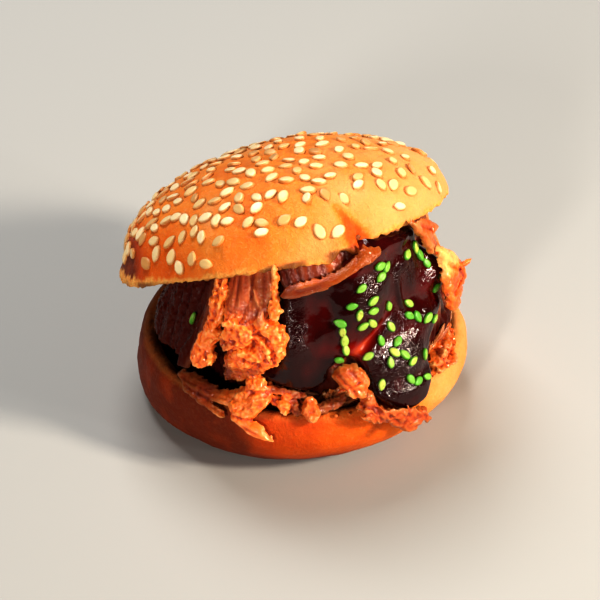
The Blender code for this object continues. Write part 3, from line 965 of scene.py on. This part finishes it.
# A torn ridge that widens as it comes down, with smooth fibres behind it.
LEFT_STRAND = (
    ((-127, 49, -122, 49, -121.5, 43.5, -120, 41, -119.7, 38, -121, 35, -120, 33, -122, 31, -120, 29,
     -121, 27.5, -123.5, 26.3, -126, 25.8, -129, 26.5, -130, 29, -129, 31, -127.5, 34, -126.5, 37,
     -127.5, 39, -127, 42), 33.2, 33, -0.42, 2.4, 1.9, 0.3, (((-124, 47, -123.8, 41, -123.2, 38,
     -123.8, 35.5), 0.35, 0.9), ((-123.5, 30, -122, 27), 0.3, 0.7)), 21),
    ((-131, 44, -127, 44, -126, 36, -129, 29, -131, 26, -133, 22.5, -138, 22, -139, 25.5, -136, 29,
     -134, 34, -133, 39), 31.2, 31, -0.45, 1.2, 2.4, 0.1, (((-131, 42, -134, 26), 0.5, 0.4),), 23),
    ((-150, 36, -142, 40, -130, 44, -128, 34, -131, 24, -138, 20.5, -146, 21, -150, 26), 29.2, 31, -0.3,
     1.4, 3.0, 0.1, (((-138, 40, -142, 22), 1.0, 0.8), ((-145, 36, -146, 24), 0.8, 0.6)), 25),
    ((-178, 26, -170, 31, -160, 35.5, -147, 39, -143, 34, -145, 26, -150, 20, -160, 18.5, -172, 18.5,
     -178, 21), 28.4, 29, -0.35, 1.2, 3.0, 0.2, (((-156, 36, -154, 20), 1.0, 0.8), ((-166, 32, -163, 20),
     0.8, 0.6)), 27),
)

# Broad straps of meat under the edge of the upper bun, and the long strip along the top of the sauce.
STRAPS = (
    ((-107, 53, -99, 53, -91, 46, -90, 43, -97, 43, -101, 45), 25.4, 46, -0.6, 1.4, 1.8, 0.05, (((-104, 52,
     -95.5, 44), 0.3, 0.6), ((-100, 51, -92, 44.5), 0.3, 0.4)), 31),
    ((-96.5, 53, -87, 53, -81, 47.5, -77.5, 43.5, -84, 43, -90.5, 43, -92, 46), 25.6, 46, -0.6, 1.6, 2.2,
     0.03, (((-91, 53, -86, 43), 0.5, 0.25),), 32),
    ((-87, 53, -77.5, 53, -75, 48, -72.5, 44.5, -79, 43.5, -81.8, 47.5), 25.6, 46, -0.6, 1.6, 1.6, 0.05,
     (((-86, 52, -79, 43), 0.3, 0.5),), 33),
    ((-78.5, 53, -73.5, 53, -71, 48.5, -70, 45, -75.5, 44.5), 25.3, 46, -0.6, 1.5, 1.2, 0.05, (), 34),
    ((-73.5, 55, -66.5, 55, -64, 48, -64, 45.6, -71.5, 45), 25.0, 46, -0.6, 1.4, 1.4, 0.05, (((-71, 54,
     -69, 45), 0.3, 0.6),), 35),
)
LONG_STRIP = (
    ((-99, 44, -97, 45.4, -93, 46.4, -88, 47, -82, 47.3, -75.5, 48, -72, 48.7, -68, 49.5, -63, 50.2,
     -58, 50.6, -54, 50.4, -55, 49.2, -60, 48.4, -65, 47.9, -69, 47.4, -76, 46.2, -82, 45.4, -88, 44.6,
     -95, 43.8), 30.9, 44, -0.7, 1.4, 1.2, 0.08, (((-93, 45.4, -86, 46, -80, 46.4), 0.3, 0.5),), 36),
    ((-66.5, 48.8, -65, 50.8, -61.5, 51.8, -59, 50.6, -61, 48.8), 28.6, 48, -0.7, 1.0, 1.2, 0.3, (), 37),
)

# What has dropped on the rim of the lower bun.
LOW_LEFT_SHRED = (
    ((-140, 19, -138, 20.2, -131, 20.4, -126, 20, -120, 19.8, -115, 20.6, -112.5, 20.4, -113, 18.5,
     -116, 17.5, -122, 17.5, -128, 18, -134, 18), 34.2, 19, -0.6, 1.8, 1.8, 0.08, (((-136, 19.6, -128, 19.4,
     -120, 18.6), 0.3, 0.45), ((-130, 20, -122, 19.4, -115, 19.2), 0.25, 0.3)), 41),
    ((-136, 18.6, -131, 18.5, -126, 17.9, -122, 17.4, -118, 16.5, -115.6, 15.4, -118, 15.5, -123, 16.2,
     -128, 16.8, -133, 17.3), 35.9, 17.5, -0.6, 1.2, 0.7, 0.06, (), 42),
)
LOW_CLUMP = (
    ((-116, 19, -113, 21.5, -110, 22.5, -105, 23, -103, 22, -101.3, 21.5, -100.6, 20.5, -101.6, 19.5,
     -103, 18.5, -105, 17, -108, 15.6, -111, 15.2, -115, 16.5), 34.4, 19, -0.45, 2.6, 2.6, 0.12,
     (((-114, 16.8, -108, 16.4, -103, 18), 0.35, 0.5),), 43),
    ((-114.5, 17.5, -111, 17, -106, 16, -103, 15.3, -101, 13.5, -99, 12.4, -103, 12.8, -107, 13.4,
     -111, 14.8, -114, 15.8), 36.4, 17, -0.42, 1.2, 1.3, 0.06, (((-109, 15, -104, 13.8, -101, 13), 0.3,
     0.4),), 45),
    ((-111, 22, -111, 23.7, -109.5, 24.7, -107, 25, -104, 24.2, -102.5, 22.5, -104, 21, -108, 21), 32.8, 23,
     -0.3, 2.2, 1.8, 0.12, (), 46),
    ((-99.3, 20, -97, 21.2, -95, 20.8, -93.8, 19.5, -94.5, 18.2, -96, 17.8, -98, 18.7), 34.8, 18.5, -0.4,
     1.9, 1.4, 0.15, (), 47),
    ((-105, 22.6, -102, 22.8, -98, 22.2, -94, 21.6, -90, 21, -88.5, 20.2, -94, 20.3, -98, 20.8, -103, 21.3),
     33.2, 20, -0.5, 1.2, 0.9, 0.12, (((-102, 22.2, -90, 20.6), 0.25, 0.4),), 48),
    ((-95.5, 20.6, -92.3, 20, -89.8, 18.4, -90.6, 17.4, -93, 18.2), 34.4, 18, -0.4, 1.1, 0.8, 0.12,
     (((-94, 19.8, -91, 18), 0.2, 0.3),), 49),
    ((-102, 20.6, -97, 20, -91, 19.2, -86, 19, -80, 19.4, -74, 20.4, -73.5, 18.6, -79, 17.2, -85, 16.6,
     -92, 16.8, -98, 17.6, -102, 18.6), 33.4, 18, -0.5, 1.1, 0.9, 0.45, (), 50),
)
RIM_CRUMB = (
    ((-90.5, 19.5, -89, 21, -87, 20.9, -85, 19.8, -84.6, 18.2, -83.8, 17.4, -86, 16.3, -88.3, 16.3,
     -90.4, 17.6), 34.6, 18, -0.4, 1.9, 1.6, 0.15, (((-87.5, 20.3, -87, 18.6, -85.5, 18), 0.5, 0.8),), 52),
)
RIM_BITS = (
    (-1.6, -34.0, 17.0, 0.5), (1.6, -34.4, 16.8, 0.5), (6.8, -34.2, 16.8, 0.5), (9.4, -33.8, 16.8, 0.45),
    (11.6, -33.0, 16.9, 0.5),
)
UNDER_SAUCE = (
    ((-80.5, 26.8, -78, 28, -75, 28.6, -71.5, 28.2, -68.5, 26.8, -67.2, 24.8, -68.2, 22.4, -71, 21,
     -74, 21.6, -77, 24), 34.8, 25, -0.3, 1.8, 2.2, 0.2, (((-78, 27, -74.5, 24.6, -72, 22), 0.4, 0.5),
     ((-74.5, 28, -71.5, 25.4), 0.35, 0.5), ((-71, 27.4, -69, 25), 0.25, 0.35)), 53),
    ((-70.3, 22, -68.8, 23, -67.3, 21.6, -68.5, 20.4, -70, 20.6), 36.4, 22, -0.2, 1.4, 0.9, 0.1, (), 54),
)
LOW_RIGHT_CLUMP = (
    ((-71.5, 19.5, -71, 21.5, -69, 23, -67, 22.8, -65.8, 20.5, -68, 19.2), 37.2, 19, -0.3, 1.7, 1.4, 0.15,
     (), 55),
    ((-73, 19.6, -70.5, 20.6, -67, 20.6, -64, 18.4, -60, 16.6, -55, 15.2, -49, 14.8, -46.5, 13.6, -48, 12,
     -52, 11, -53.4, 10.2, -56, 10.6, -59, 12.3, -63, 14.4, -67, 16.8, -71, 18.4), 37.3, 17, -0.15, 1.4,
     1.6, 0.35, (), 56),
)
LOW_RIGHT_LUMP = ((23.2, -30.8, 11.0, 0.85),)

# A crumbly patch on the rim below the right of the sauce, the pale crust of meat above it with its spike, and a leaf
# under the upper bun.
RIGHT_CLUMP = (
    ((-4, 19.4, -8, 18, -13, 17.3, -18, 16.8, -23, 16, -29, 16.2, -37, 16.6, -34, 18.4, -27, 19.4, -17, 20,
     -10, 20.2), 34.0, 17, -1.35, 1.3, 1.4, 0.35, (((-12, 18.9, -20, 17.8, -28, 17.8), 0.5, 0.6),), 61),
)
RIGHT_LUMPS = ((30.6, -12.2, 18.4, 1.3), (29.8, -15.2, 18.6, 1.3))
TOP_RIGHT_CLUMP = (
    ((-26, 44.4, -22, 43.8, -16, 40.6, -12, 38, -9.5, 35.5, -10, 32.5, -15, 32, -19, 32.8, -20, 31.2,
     -25, 30, -28, 30.5, -28.5, 33, -28.5, 36, -27, 40), 33.7, 34, -0.27, 1.8, 2.4, 0.3, (((-27, 42,
     -19, 38, -14, 34), 0.5, 0.5), ((-12, 36.5, -17, 34.5, -25, 34), 0.4, 0.8)), 63),
)
TOP_RIGHT_LUMPS = ((30.4, -8.4, 38.6, 2.0), (31.6, -8.6, 35.0, 2.2), (32.2, -8.8, 31.0, 2.0), (32.0, -9.4, 28.0, 1.7))
TOP_RIGHT_SPIKE = ((((32.8, -9.4, 37.0), (34.2, -8.2, 37.2), (35.6, -7.6, 37.9)), (1.2, 0.7, 0.2)),)
TOP_TIP = (
    ((-36, 52.5, -30, 52, -22, 49.6, -17, 47.6, -15.5, 46.6, -18, 46.2, -23, 46.4, -26, 46.2, -26, 44,
     -28, 43, -30, 45.5, -31, 48, -34, 49.5), 29.0, 46, -0.35, 1.2, 1.6, 0.08, (((-30, 50.5, -24, 48.2),
     0.6, 0.5),), 65),
)


def side_of(piece):
    """Angle in degrees and height of each point."""
    points = points_of(piece)
    return around(points)[0], points[:, 2]


def make_front_clump(material):
    piece = clay("beef_front_clump_torn", FRONT_CLUMP, voxel=0.21)
    degrees, z = side_of(piece)
    torn = np.maximum(step((40.6 - z) / 2.4), step((degrees + 103.6) / 1.2))
    groove(piece, (1, 0, 0), 0.14, 1 - torn, 0.6, 4)
    crumple(piece, 1.0, 0.12 + 0.88 * torn, 1)
    # The darker tone low down on the ledge and at the left of the torn end is painted shade; the smooth fibres above
    # are browner in their own colour.
    brown = 0.45 * step((28.5 - z) / 1.5) + 0.5 * bump((degrees + 117.5) / 2.5) * (z < 34) + 0.2 * (1 - torn)
    drop = step((degrees + 103.4) / 1.2) * step((z - 39.5) / 1.5)
    beef_finish(piece, material, 0.1 + 0.9 * torn, brown, 0.2 * drop, "beef_front_clump", contrast=1.05, lighter=0.02)


def make_left_strand(material):
    piece = clay("beef_left_strand_torn", LEFT_STRAND, voxel=0.21)
    degrees, z = side_of(piece)
    torn = step((degrees + 129.6 - 0.25 * np.clip(z - 33, 0, 20)) / 1.4)
    wall = step((-134 - degrees) / 5)
    groove(piece, (1, -0.6, 0.2), 0.14, (1 - torn) * (1 - 0.5 * wall), 0.6, 2)
    crumple(piece, 0.95, 0.15 + 0.85 * np.maximum(torn, 0.6 * wall), 7)
    # Darker on the smooth back fibres, towards the top under the upper bun and on the wall at the left: sauce and
    # painted shade.
    sauce_and_shade = 0.5 * (1 - torn) + 0.3 * step((z - 38) / 6) + 0.42 * step((-130 - degrees) / 5)
    beef_finish(piece, material, 0.15 + 0.85 * torn, 0.45 * (1 - torn), sauce_and_shade, "beef_left_strand")
    return piece


def make_top_strips(material):
    straps = clay("beef_straps", STRAPS)
    soften(straps, 5)
    groove(straps, (0.83, 0, 0.55), 0.02, 1.0, 0.5, 3)
    degrees, _ = side_of(straps)
    orange = bump((degrees + 78) / 3)
    dark = np.maximum(step((-93 - degrees) / 3), step((degrees + 74) / 4))
    # The straps lie in the shade of the upper bun: their sauce share is mostly painted shade, darker still at both
    # ends.
    sauce_and_shade = 0.42 + 0.35 * dark - 0.1 * orange
    beef_finish(straps, material, 0.1 + 0.6 * orange, 0.35 + 0.3 * dark, sauce_and_shade, contrast=0.9)

    strip = clay("beef_long_strip_torn", LONG_STRIP, voxel=0.2)
    soften(strip, 10)
    degrees, z = side_of(strip)
    groove(strip, (-0.2, 0, 1), 0.06, 1.0, 0.6, 5)
    crumple(strip, 0.4, 0.25 + 0.75 * step((degrees + 70) / 3), 15)
    right = step((degrees + 86) / 8)
    lip = step((z - 46.6 - 0.11 * (degrees + 84)) / 0.5) * step((degrees + 95) / 5)
    orange = np.maximum(0.7 * right, 0.75 * lip)
    # The strip also lies in the shade of the upper bun: its sauce share is partly painted shade, and higher at the
    # right end.
    sauce_and_shade = 0.45 + 0.15 * right
    beef_finish(strip, material, 0.1 + orange, 0.5 * (1 - orange), sauce_and_shade, "beef_long_strip", contrast=0.9)


def rim_fibres(count):
    """Short fibres side by side, down along the right of the rim."""
    rng = random.Random(8)
    fibres = []
    for k in range(count):
        share = (k + 0.5) / count
        angle = math.radians(-71 + 23.5 * share + rng.gauss(0, 0.4))
        height = 18.9 - 6.2 * share + rng.uniform(-1.5, 1.4)
        out = Vector((math.cos(angle), math.sin(angle), 0))
        middle = out * rng.uniform(38.9, 39.6) + Vector((0, 0, height))
        side = Vector((-math.sin(angle), math.cos(angle), 0))
        heading = (side * (0.6 + rng.gauss(0, 0.15)) + Vector((0, 0, -0.8 + rng.gauss(0, 0.15)))).normalized()
        heading *= rng.uniform(0.9, 1.5)
        size = rng.uniform(0.34, 0.52)
        ends = (middle - heading - out * 0.7, middle, middle + heading - out * 0.7)
        fibres.append((ends, (size * 0.7, size, size * 0.7)))
    return fibres


def make_low_pieces(material):
    shred = clay("beef_low_left_shred_torn", LOW_LEFT_SHRED, voxel=0.22)
    degrees, _ = side_of(shred)
    groove(shred, (0.35, 0.4, 0.85), 0.1, 1.0, 0.5, 6)
    crumple(shred, 0.35, 1.0, 16)
    left = step((-116 - degrees) / 8)
    # Darker at its left end: sauce and painted shade.
    beef_finish(shred, material, 0.75 - 0.25 * left, 0.35 * left, 0.12 + 0.45 * left, "beef_low_left_shred")

    clump = clay("beef_low_clump_torn", LOW_CLUMP, voxel=0.21)
    degrees, z = side_of(clump)
    crumple(clump, 0.75, 0.25 + 0.75 * step((z - 15) / 2), 3)
    brown = np.maximum(step((degrees + 95) / 2), step((z - 21.2) / 0.7) * step((degrees + 103) / 2))
    tone = 0.1 + 0.5 * brown
    beef_finish(clump, material, 0.95 - 0.5 * brown, tone, 0.25 * brown, "beef_low_clump", contrast=1.1)

    crumb = clay("beef_rim_crumb_torn", RIM_CRUMB, RIM_BITS, voxel=0.21)
    crumple(crumb, 0.8, 1.0, 4)
    beef_finish(crumb, material, 0.85, 0.2, 0.12, "beef_rim_crumb", contrast=0.8)

    tip = clay("beef_under_sauce_torn", UNDER_SAUCE)
    groove(tip, (0.8, 0, 0.6), 0.16, 1.0, 0.7, 8)
    crumple(tip, 0.55, 1.0, 12)
    degrees, z = side_of(tip)
    stained = np.maximum(step((z - 24.5) / 4), step((-73.5 - degrees) / 4))
    beef_finish(tip, material, 0.85, 0.15, 0.08 + 0.42 * stained, "beef_under_sauce")

    coarse = clay("beef_low_right_clump_torn", LOW_RIGHT_CLUMP, LOW_RIGHT_LUMP, rim_fibres(70), 0.22)
    crumple(coarse, 0.5, 1.0, 5)
    beef_finish(coarse, material, 0.9, 0.4, 0.2, "beef_low_right_clump", contrast=1.3, lighter=-0.12)


def make_right_pieces(material):
    right = clay("beef_right_clump_torn", RIGHT_CLUMP, RIGHT_LUMPS)
    crumple(right, 1.0, 1.0, 6)
    tone = 0.1 + 0.3 * step(0.4 + grain(points_of(right), 3, 62))
    beef_finish(right, material, 0.95, tone, 0.15, "beef_right_clump")

    upper = clay("beef_top_right_clump_torn", TOP_RIGHT_CLUMP, TOP_RIGHT_LUMPS, TOP_RIGHT_SPIKE)
    crumple(upper, 0.5, 1.0, 8)
    points = points_of(upper)
    pale = step((points[:, 2] - 36.8) / 3) * step(0.95 + 0.6 * grain(points, 5, 64))
    beef_finish(upper, material, 0.95, 0.0, 0.2 * (1 - pale), "beef_top_right_clump", contrast=0.8,
                lighter=0.65 * pale - 0.2)

    tip = clay("beef_top_tip_torn", TOP_TIP)
    crumple(tip, 0.25, 1.0, 13)
    beef_finish(tip, material, 0.8, 0.25, 0.25, "beef_top_tip")


# ---------------------------------------------------------------- sauce


# Outline of the sauce on the side of the meat: angle and height of each corner, clockwise from its upper left.
SAUCE_OUTLINE = (
    -112, 42, -98, 43.4, -91, 44.6, -84, 45.6, -76, 46.8, -70, 47.8, -64, 49, -60, 51, -58, 62, -26, 62,
    -26, 50, -27, 46, -21, 42.4, -16.5, 39, -16, 35.6, -19, 32.6, -24, 30.4, -30, 28.2, -34.5, 25.6,
    -39, 22.2, -41.5, 18.4, -46, 15.6, -51, 14.6, -57, 15.2, -61, 16.8, -66, 20.2, -67, 23.4, -67.6, 26,
    -69.8, 27.6, -73, 28.4, -77, 27.8, -79.5, 26.2, -81, 23.8, -83.5, 22, -88, 21.2, -94, 21.2, -100, 22.2,
    -112, 23,
)
# Swellings of the sauce: angle, height, half width, half height and slant of the long way, then rise.
SAUCE_LUMPS = (
    (-53, 24, 8.0, 6.5, 0, 2.2), (-54, 18, 8.5, 4.0, 0, 1.3), (-62, 41, 5.0, 4.5, 0.2, 1.6),
    (-64, 36.5, 3.5, 2.5, 0, 0.5), (-45, 42, 5.5, 4.5, 0, 0.9), (-47.3, 38, 0.7, 4.2, -0.1, 0.7),
    (-73, 39, 4.0, 7.5, 0.25, 1.0), (-97, 32, 5.2, 7.0, 0, 2.4), (-85, 34, 4.5, 10, 0, -1.0),
    (-62.5, 32.5, 2.0, 4.0, 1.29, -1.0), (-22, 38.5, 4.5, 4.5, 0, 2.6), (-28, 38, 2.0, 2.0, 0, 0.6),
    (-33, 36.5, 2.0, 1.6, 0, 0.6), (-36, 47, 8, 2.4, 0, -0.8), (-35, 31, 4, 3, 0, 0.8),
    (-53, 30.5, 5, 1.6, 0, -0.7),
)
# Where the sauce is only a film, in the same way, with its share of red.
SAUCE_FILMS = (
    (-64, 32.4, 2.0, 3.6, 1.29, 0.38), (-70, 29.4, 2.6, 2.2, 0, 0.42), (-67, 36, 4, 4.5, 0.5, 0.12),
    (-74, 31, 4, 1.6, 0, 0.3), (-52, 49.5, 10, 2.0, 0, 0.25), (-62, 48.6, 5, 1.4, 0.3, 0.1),
    (-76, 46.6, 8, 0.7, 0.15, 0.45), (-24, 38.5, 3.2, 3.5, 0, 0.4), (-33, 36.8, 1.8, 1.6, 0, 0.35),
    (-24, 33, 3, 2.5, 0, 0.25), (-40, 31, 5, 2.5, 0, 0.15), (-54, 17, 8, 1.6, 0, 0.15),
)
# Where the skin of the sauce has wrinkled, in the same way.
SAUCE_WRINKLES = (
    (-97, 35.5, 4.2, 7, -0.15, 1.0), (-61.5, 42.5, 3.4, 4.5, 0.2, 0.8), (-64, 37.5, 2.8, 3, 0, 0.6),
    (-42.5, 42, 3.6, 3.0, -0.6, 0.9), (-47.3, 37.5, 1.2, 4, -0.1, 0.5), (-54.5, 25, 7.0, 5.5, 0, 1.3),
    (-25, 38, 4, 4, 0, 1.0), (-36, 31, 3, 3, 0, 0.35), (-52, 33, 3, 2, 0, 0.3),
)
# Low down on the right the sauce runs out over the rim of the bun.
RIM_HEIGHTS = (11, 13, 15, 16.6, 20, 24, 30)
RIM_RADII = (36, 35.9, 35.3, 34.5, 33.4, 31, 10)


def spread(across, up, spots):
    """Adds up smooth spots, each angle, height, half width, half height, slant and strength."""
    total = np.zeros_like(across)
    for angle, height, wide, tall, slant, strength in spots:
        du = up - height
        ds = across - math.radians(angle) * SIDE_REACH - slant * du
        total += strength * bump(ds / wide) * bump(du / tall)
    return total


def make_sauce(tree, material):
    """A sheet poured over the side of the meat, laid out by angle and height, given its thickness, then melted."""
    angles = np.radians(np.arange(-113, -8, 0.7))
    heights = np.arange(11, 57, 0.4)
    ground = np.full((len(angles), len(heights)), np.nan)
    for i, angle in enumerate(angles):
        out = Vector((math.cos(angle), math.sin(angle), 0))
        for j, height in enumerate(heights):
            hit = tree.ray_cast(out * OUTSIDE + Vector((0, 0, height)), -out)[0]
            if hit:
                ground[i, j] = hit.xy.length
    missing = np.isnan(ground)
    filled = np.where(missing, 20, ground)
    for _ in range(12):
        middle = (np.roll(filled, 1, 0) + np.roll(filled, -1, 0) + np.roll(filled, 1, 1) + np.roll(filled, -1, 1)) / 4
        filled[1:-1, 1:-1] = np.where(missing, filled, middle)[1:-1, 1:-1]
    angle, up = np.meshgrid(angles, heights, indexing="ij")
    across = angle * SIDE_REACH
    filled = np.maximum(filled, np.interp(up, RIM_HEIGHTS, RIM_RADII) - 4 * step((-66 - np.degrees(angle)) / 7))
    flat = np.stack([across.ravel(), up.ravel(), np.zeros(across.size)], 1)
    depth = inside_distance(across, up, SAUCE_OUTLINE) + 0.5 * grain(flat, 4, 51).reshape(across.shape)
    rounded = np.sqrt(1 - (1 - np.clip(depth / 1.7, 0, 1)) ** 2)
    uneven = (0.45 * grain(flat, 6, 52) + 0.16 * grain(flat, 2.2, 53)).reshape(across.shape)
    lift = 1.9 + spread(across, up, SAUCE_LUMPS) + uneven
    radius = filled + np.where(depth > 0, rounded * lift, depth * 1.2)
    sauce = sheet("sauce_sheet", radius, across, up, (depth > -0.9) & ~missing, 1.6)
    fuse(sauce, 0.33)
    soften(sauce, 3)

    points = points_of(sauce)
    across, up = np.radians(around(points)[0]) * SIDE_REACH, points[:, 2]
    film = 0.04 + spread(across, up, SAUCE_FILMS) - 0.4 * relief(sauce, 60) + 0.1 * grain(points, 3, 54)
    film += 0.3 * step((1.6 - inside_distance(across, up, SAUCE_OUTLINE)) / 1.6)
    paint(sauce, "film", film, 0.07 + spread(across, up, SAUCE_WRINKLES))
    finish(sauce, material, "barbecue_sauce", "barbecue_sauce")
    return sauce


# Rows of green seeds: angle and height of the first and of the last, and how many.
GREEN_ROWS = (
    (-75.5, 37.2, -74.5, 31.2, 4), (-76.5, 28.6, -76.5, 28.6, 1), (-71, 41, -67, 35.5, 3),
    (-62, 41, -64, 36, 3), (-67, 44, -67, 44, 1), (-56.5, 48, -52, 47, 2), (-57, 45, -57, 45, 1),
    (-39, 47, -39, 47, 1), (-31, 46.5, -28.5, 42, 3), (-53, 38, -53, 38, 1), (-43, 36, -43, 36, 1),
    (-23, 37, -26, 35, 2), (-45, 33.5, -34, 29.5, 4), (-55, 33, -60, 31, 2), (-53.5, 29, -57.5, 26, 3),
    (-52.5, 26, -52.5, 26, 1), (-66, 28.5, -66, 28.5, 1), (-50, 24, -43.5, 23.5, 2),
    (-67, 23.5, -63, 21.5, 2), (-52, 20.4, -49.6, 19, 2), (-45.5, 19, -45.5, 19, 1),
)
# One has dropped on the dark meat at the left: a ray from outside through where it lies, and which way it points.
DROPPED_FROM = Vector((-45.0, -39.6, 36.5))
DROPPED_TOWARDS = Vector((-23.5, -20.7, 31.5))
DROPPED_HEADING = Vector((0.385, -0.13, 0.98))


def make_green_seeds(sauce, strand, material):
    rng = random.Random(21)
    tree = tree_of(sauce)
    hit, normal, _, _ = tree_of(strand).ray_cast(DROPPED_FROM, (DROPPED_TOWARDS - DROPPED_FROM).normalized())
    places, taken = [lying(hit + normal * 0.6, normal, DROPPED_HEADING, 1.2, -0.65)], []
    spots = [(a0 + (a1 - a0) * k / max(count - 1, 1), h0 + (h1 - h0) * k / max(count - 1, 1))
             for a0, h0, a1, h1, count in GREEN_ROWS for k in range(count)]
    for angle, height in spots:
        reach = 0.3
        while True:
            a = math.radians(angle) + rng.uniform(-reach, reach) / SIDE_REACH
            h = height + rng.uniform(-reach, reach)
            start = Vector((OUTSIDE * math.cos(a), OUTSIDE * math.sin(a), h + 10))
            inwards = Vector((-math.cos(a), -math.sin(a), -0.35)).normalized()
            hit, normal, _, _ = tree.ray_cast(start, inwards)
            if hit and all((hit - other).length > GREEN_ROOM for other in taken):
                break
            reach += 0.05
        taken.append(hit)
        places.append(lying(hit + normal * 0.25, normal, any_way(rng), rng.uniform(0.9, 1.08), rng.gauss(0, 0.15)))
    tones = [rng.random() for _ in places]
    seeds = scatter("green_sesame", seed_shape(*GREEN_SEED), places, tones)
    finish(seeds, material, "barbecue_sauce")


# ---------------------------------------------------------------- stage


def add_aimed(name, data, location, target):
    """Puts a lamp or a camera in the scene, turned towards the target."""
    made = add(name, data)
    made.location = location
    made.rotation_euler = (Vector(target) - made.location).to_track_quat("-Z", "Y").to_euler()
    return made


def make_stage():
    bpy.ops.mesh.primitive_plane_add(size=6)
    floor = bpy.context.object
    floor.name = floor.data.name = "studio_floor"
    paper, _, _ = new_material("pale_paper", Base_Color=linear("#b0afac"), Roughness=0.9)
    floor.data.materials.append(paper)

    for name, azimuth, elevation, distance, width, height, power, colour in SOFTBOXES:
        data = bpy.data.lights.new(name, "AREA")
        data.shape = "RECTANGLE"
        data.size, data.size_y = width, height
        data.energy = power
        data.color = linear(colour)[:3]
        a, e = math.radians(azimuth), math.radians(elevation)
        way = Vector((math.sin(a) * math.cos(e), -math.cos(a) * math.cos(e), math.sin(e)))
        add_aimed(name, data, way * distance, LIT_POINT)

    world = bpy.data.worlds.new("studio")
    world.use_nodes = True
    background = world.node_tree.nodes["Background"]
    background.inputs["Color"].default_value = linear("#d0d0d0")
    background.inputs["Strength"].default_value = ROOM_LIGHT
    scene = bpy.context.scene
    scene.world = world
    scene.view_settings.view_transform = "Standard"
    scene.view_settings.gamma = VIEW_CONTRAST
    scene.cycles.use_denoising = True

    data = bpy.data.cameras.new("camera")
    data.lens = CAMERA_LENS
    data.clip_start = 0.01
    way = Vector((0, -math.cos(CAMERA_ELEVATION), math.sin(CAMERA_ELEVATION)))
    scene.camera = add_aimed("camera", data, CAMERA_TARGET + way * CAMERA_DISTANCE, CAMERA_TARGET)


def main():
    crust = crust_material()
    beef = beef_material()
    crown = make_crown(crust)
    make_heel(crust)
    make_white_seeds(crown, white_seed_material())
    meat = make_core(beef)
    make_shreds(meat, beef)
    make_front_clump(beef)
    strand = make_left_strand(beef)
    make_top_strips(beef)
    make_low_pieces(beef)
    make_right_pieces(beef)
    sauce = make_sauce(meat, sauce_material())
    make_green_seeds(sauce, strand, green_seed_material())
    make_stage()


main()
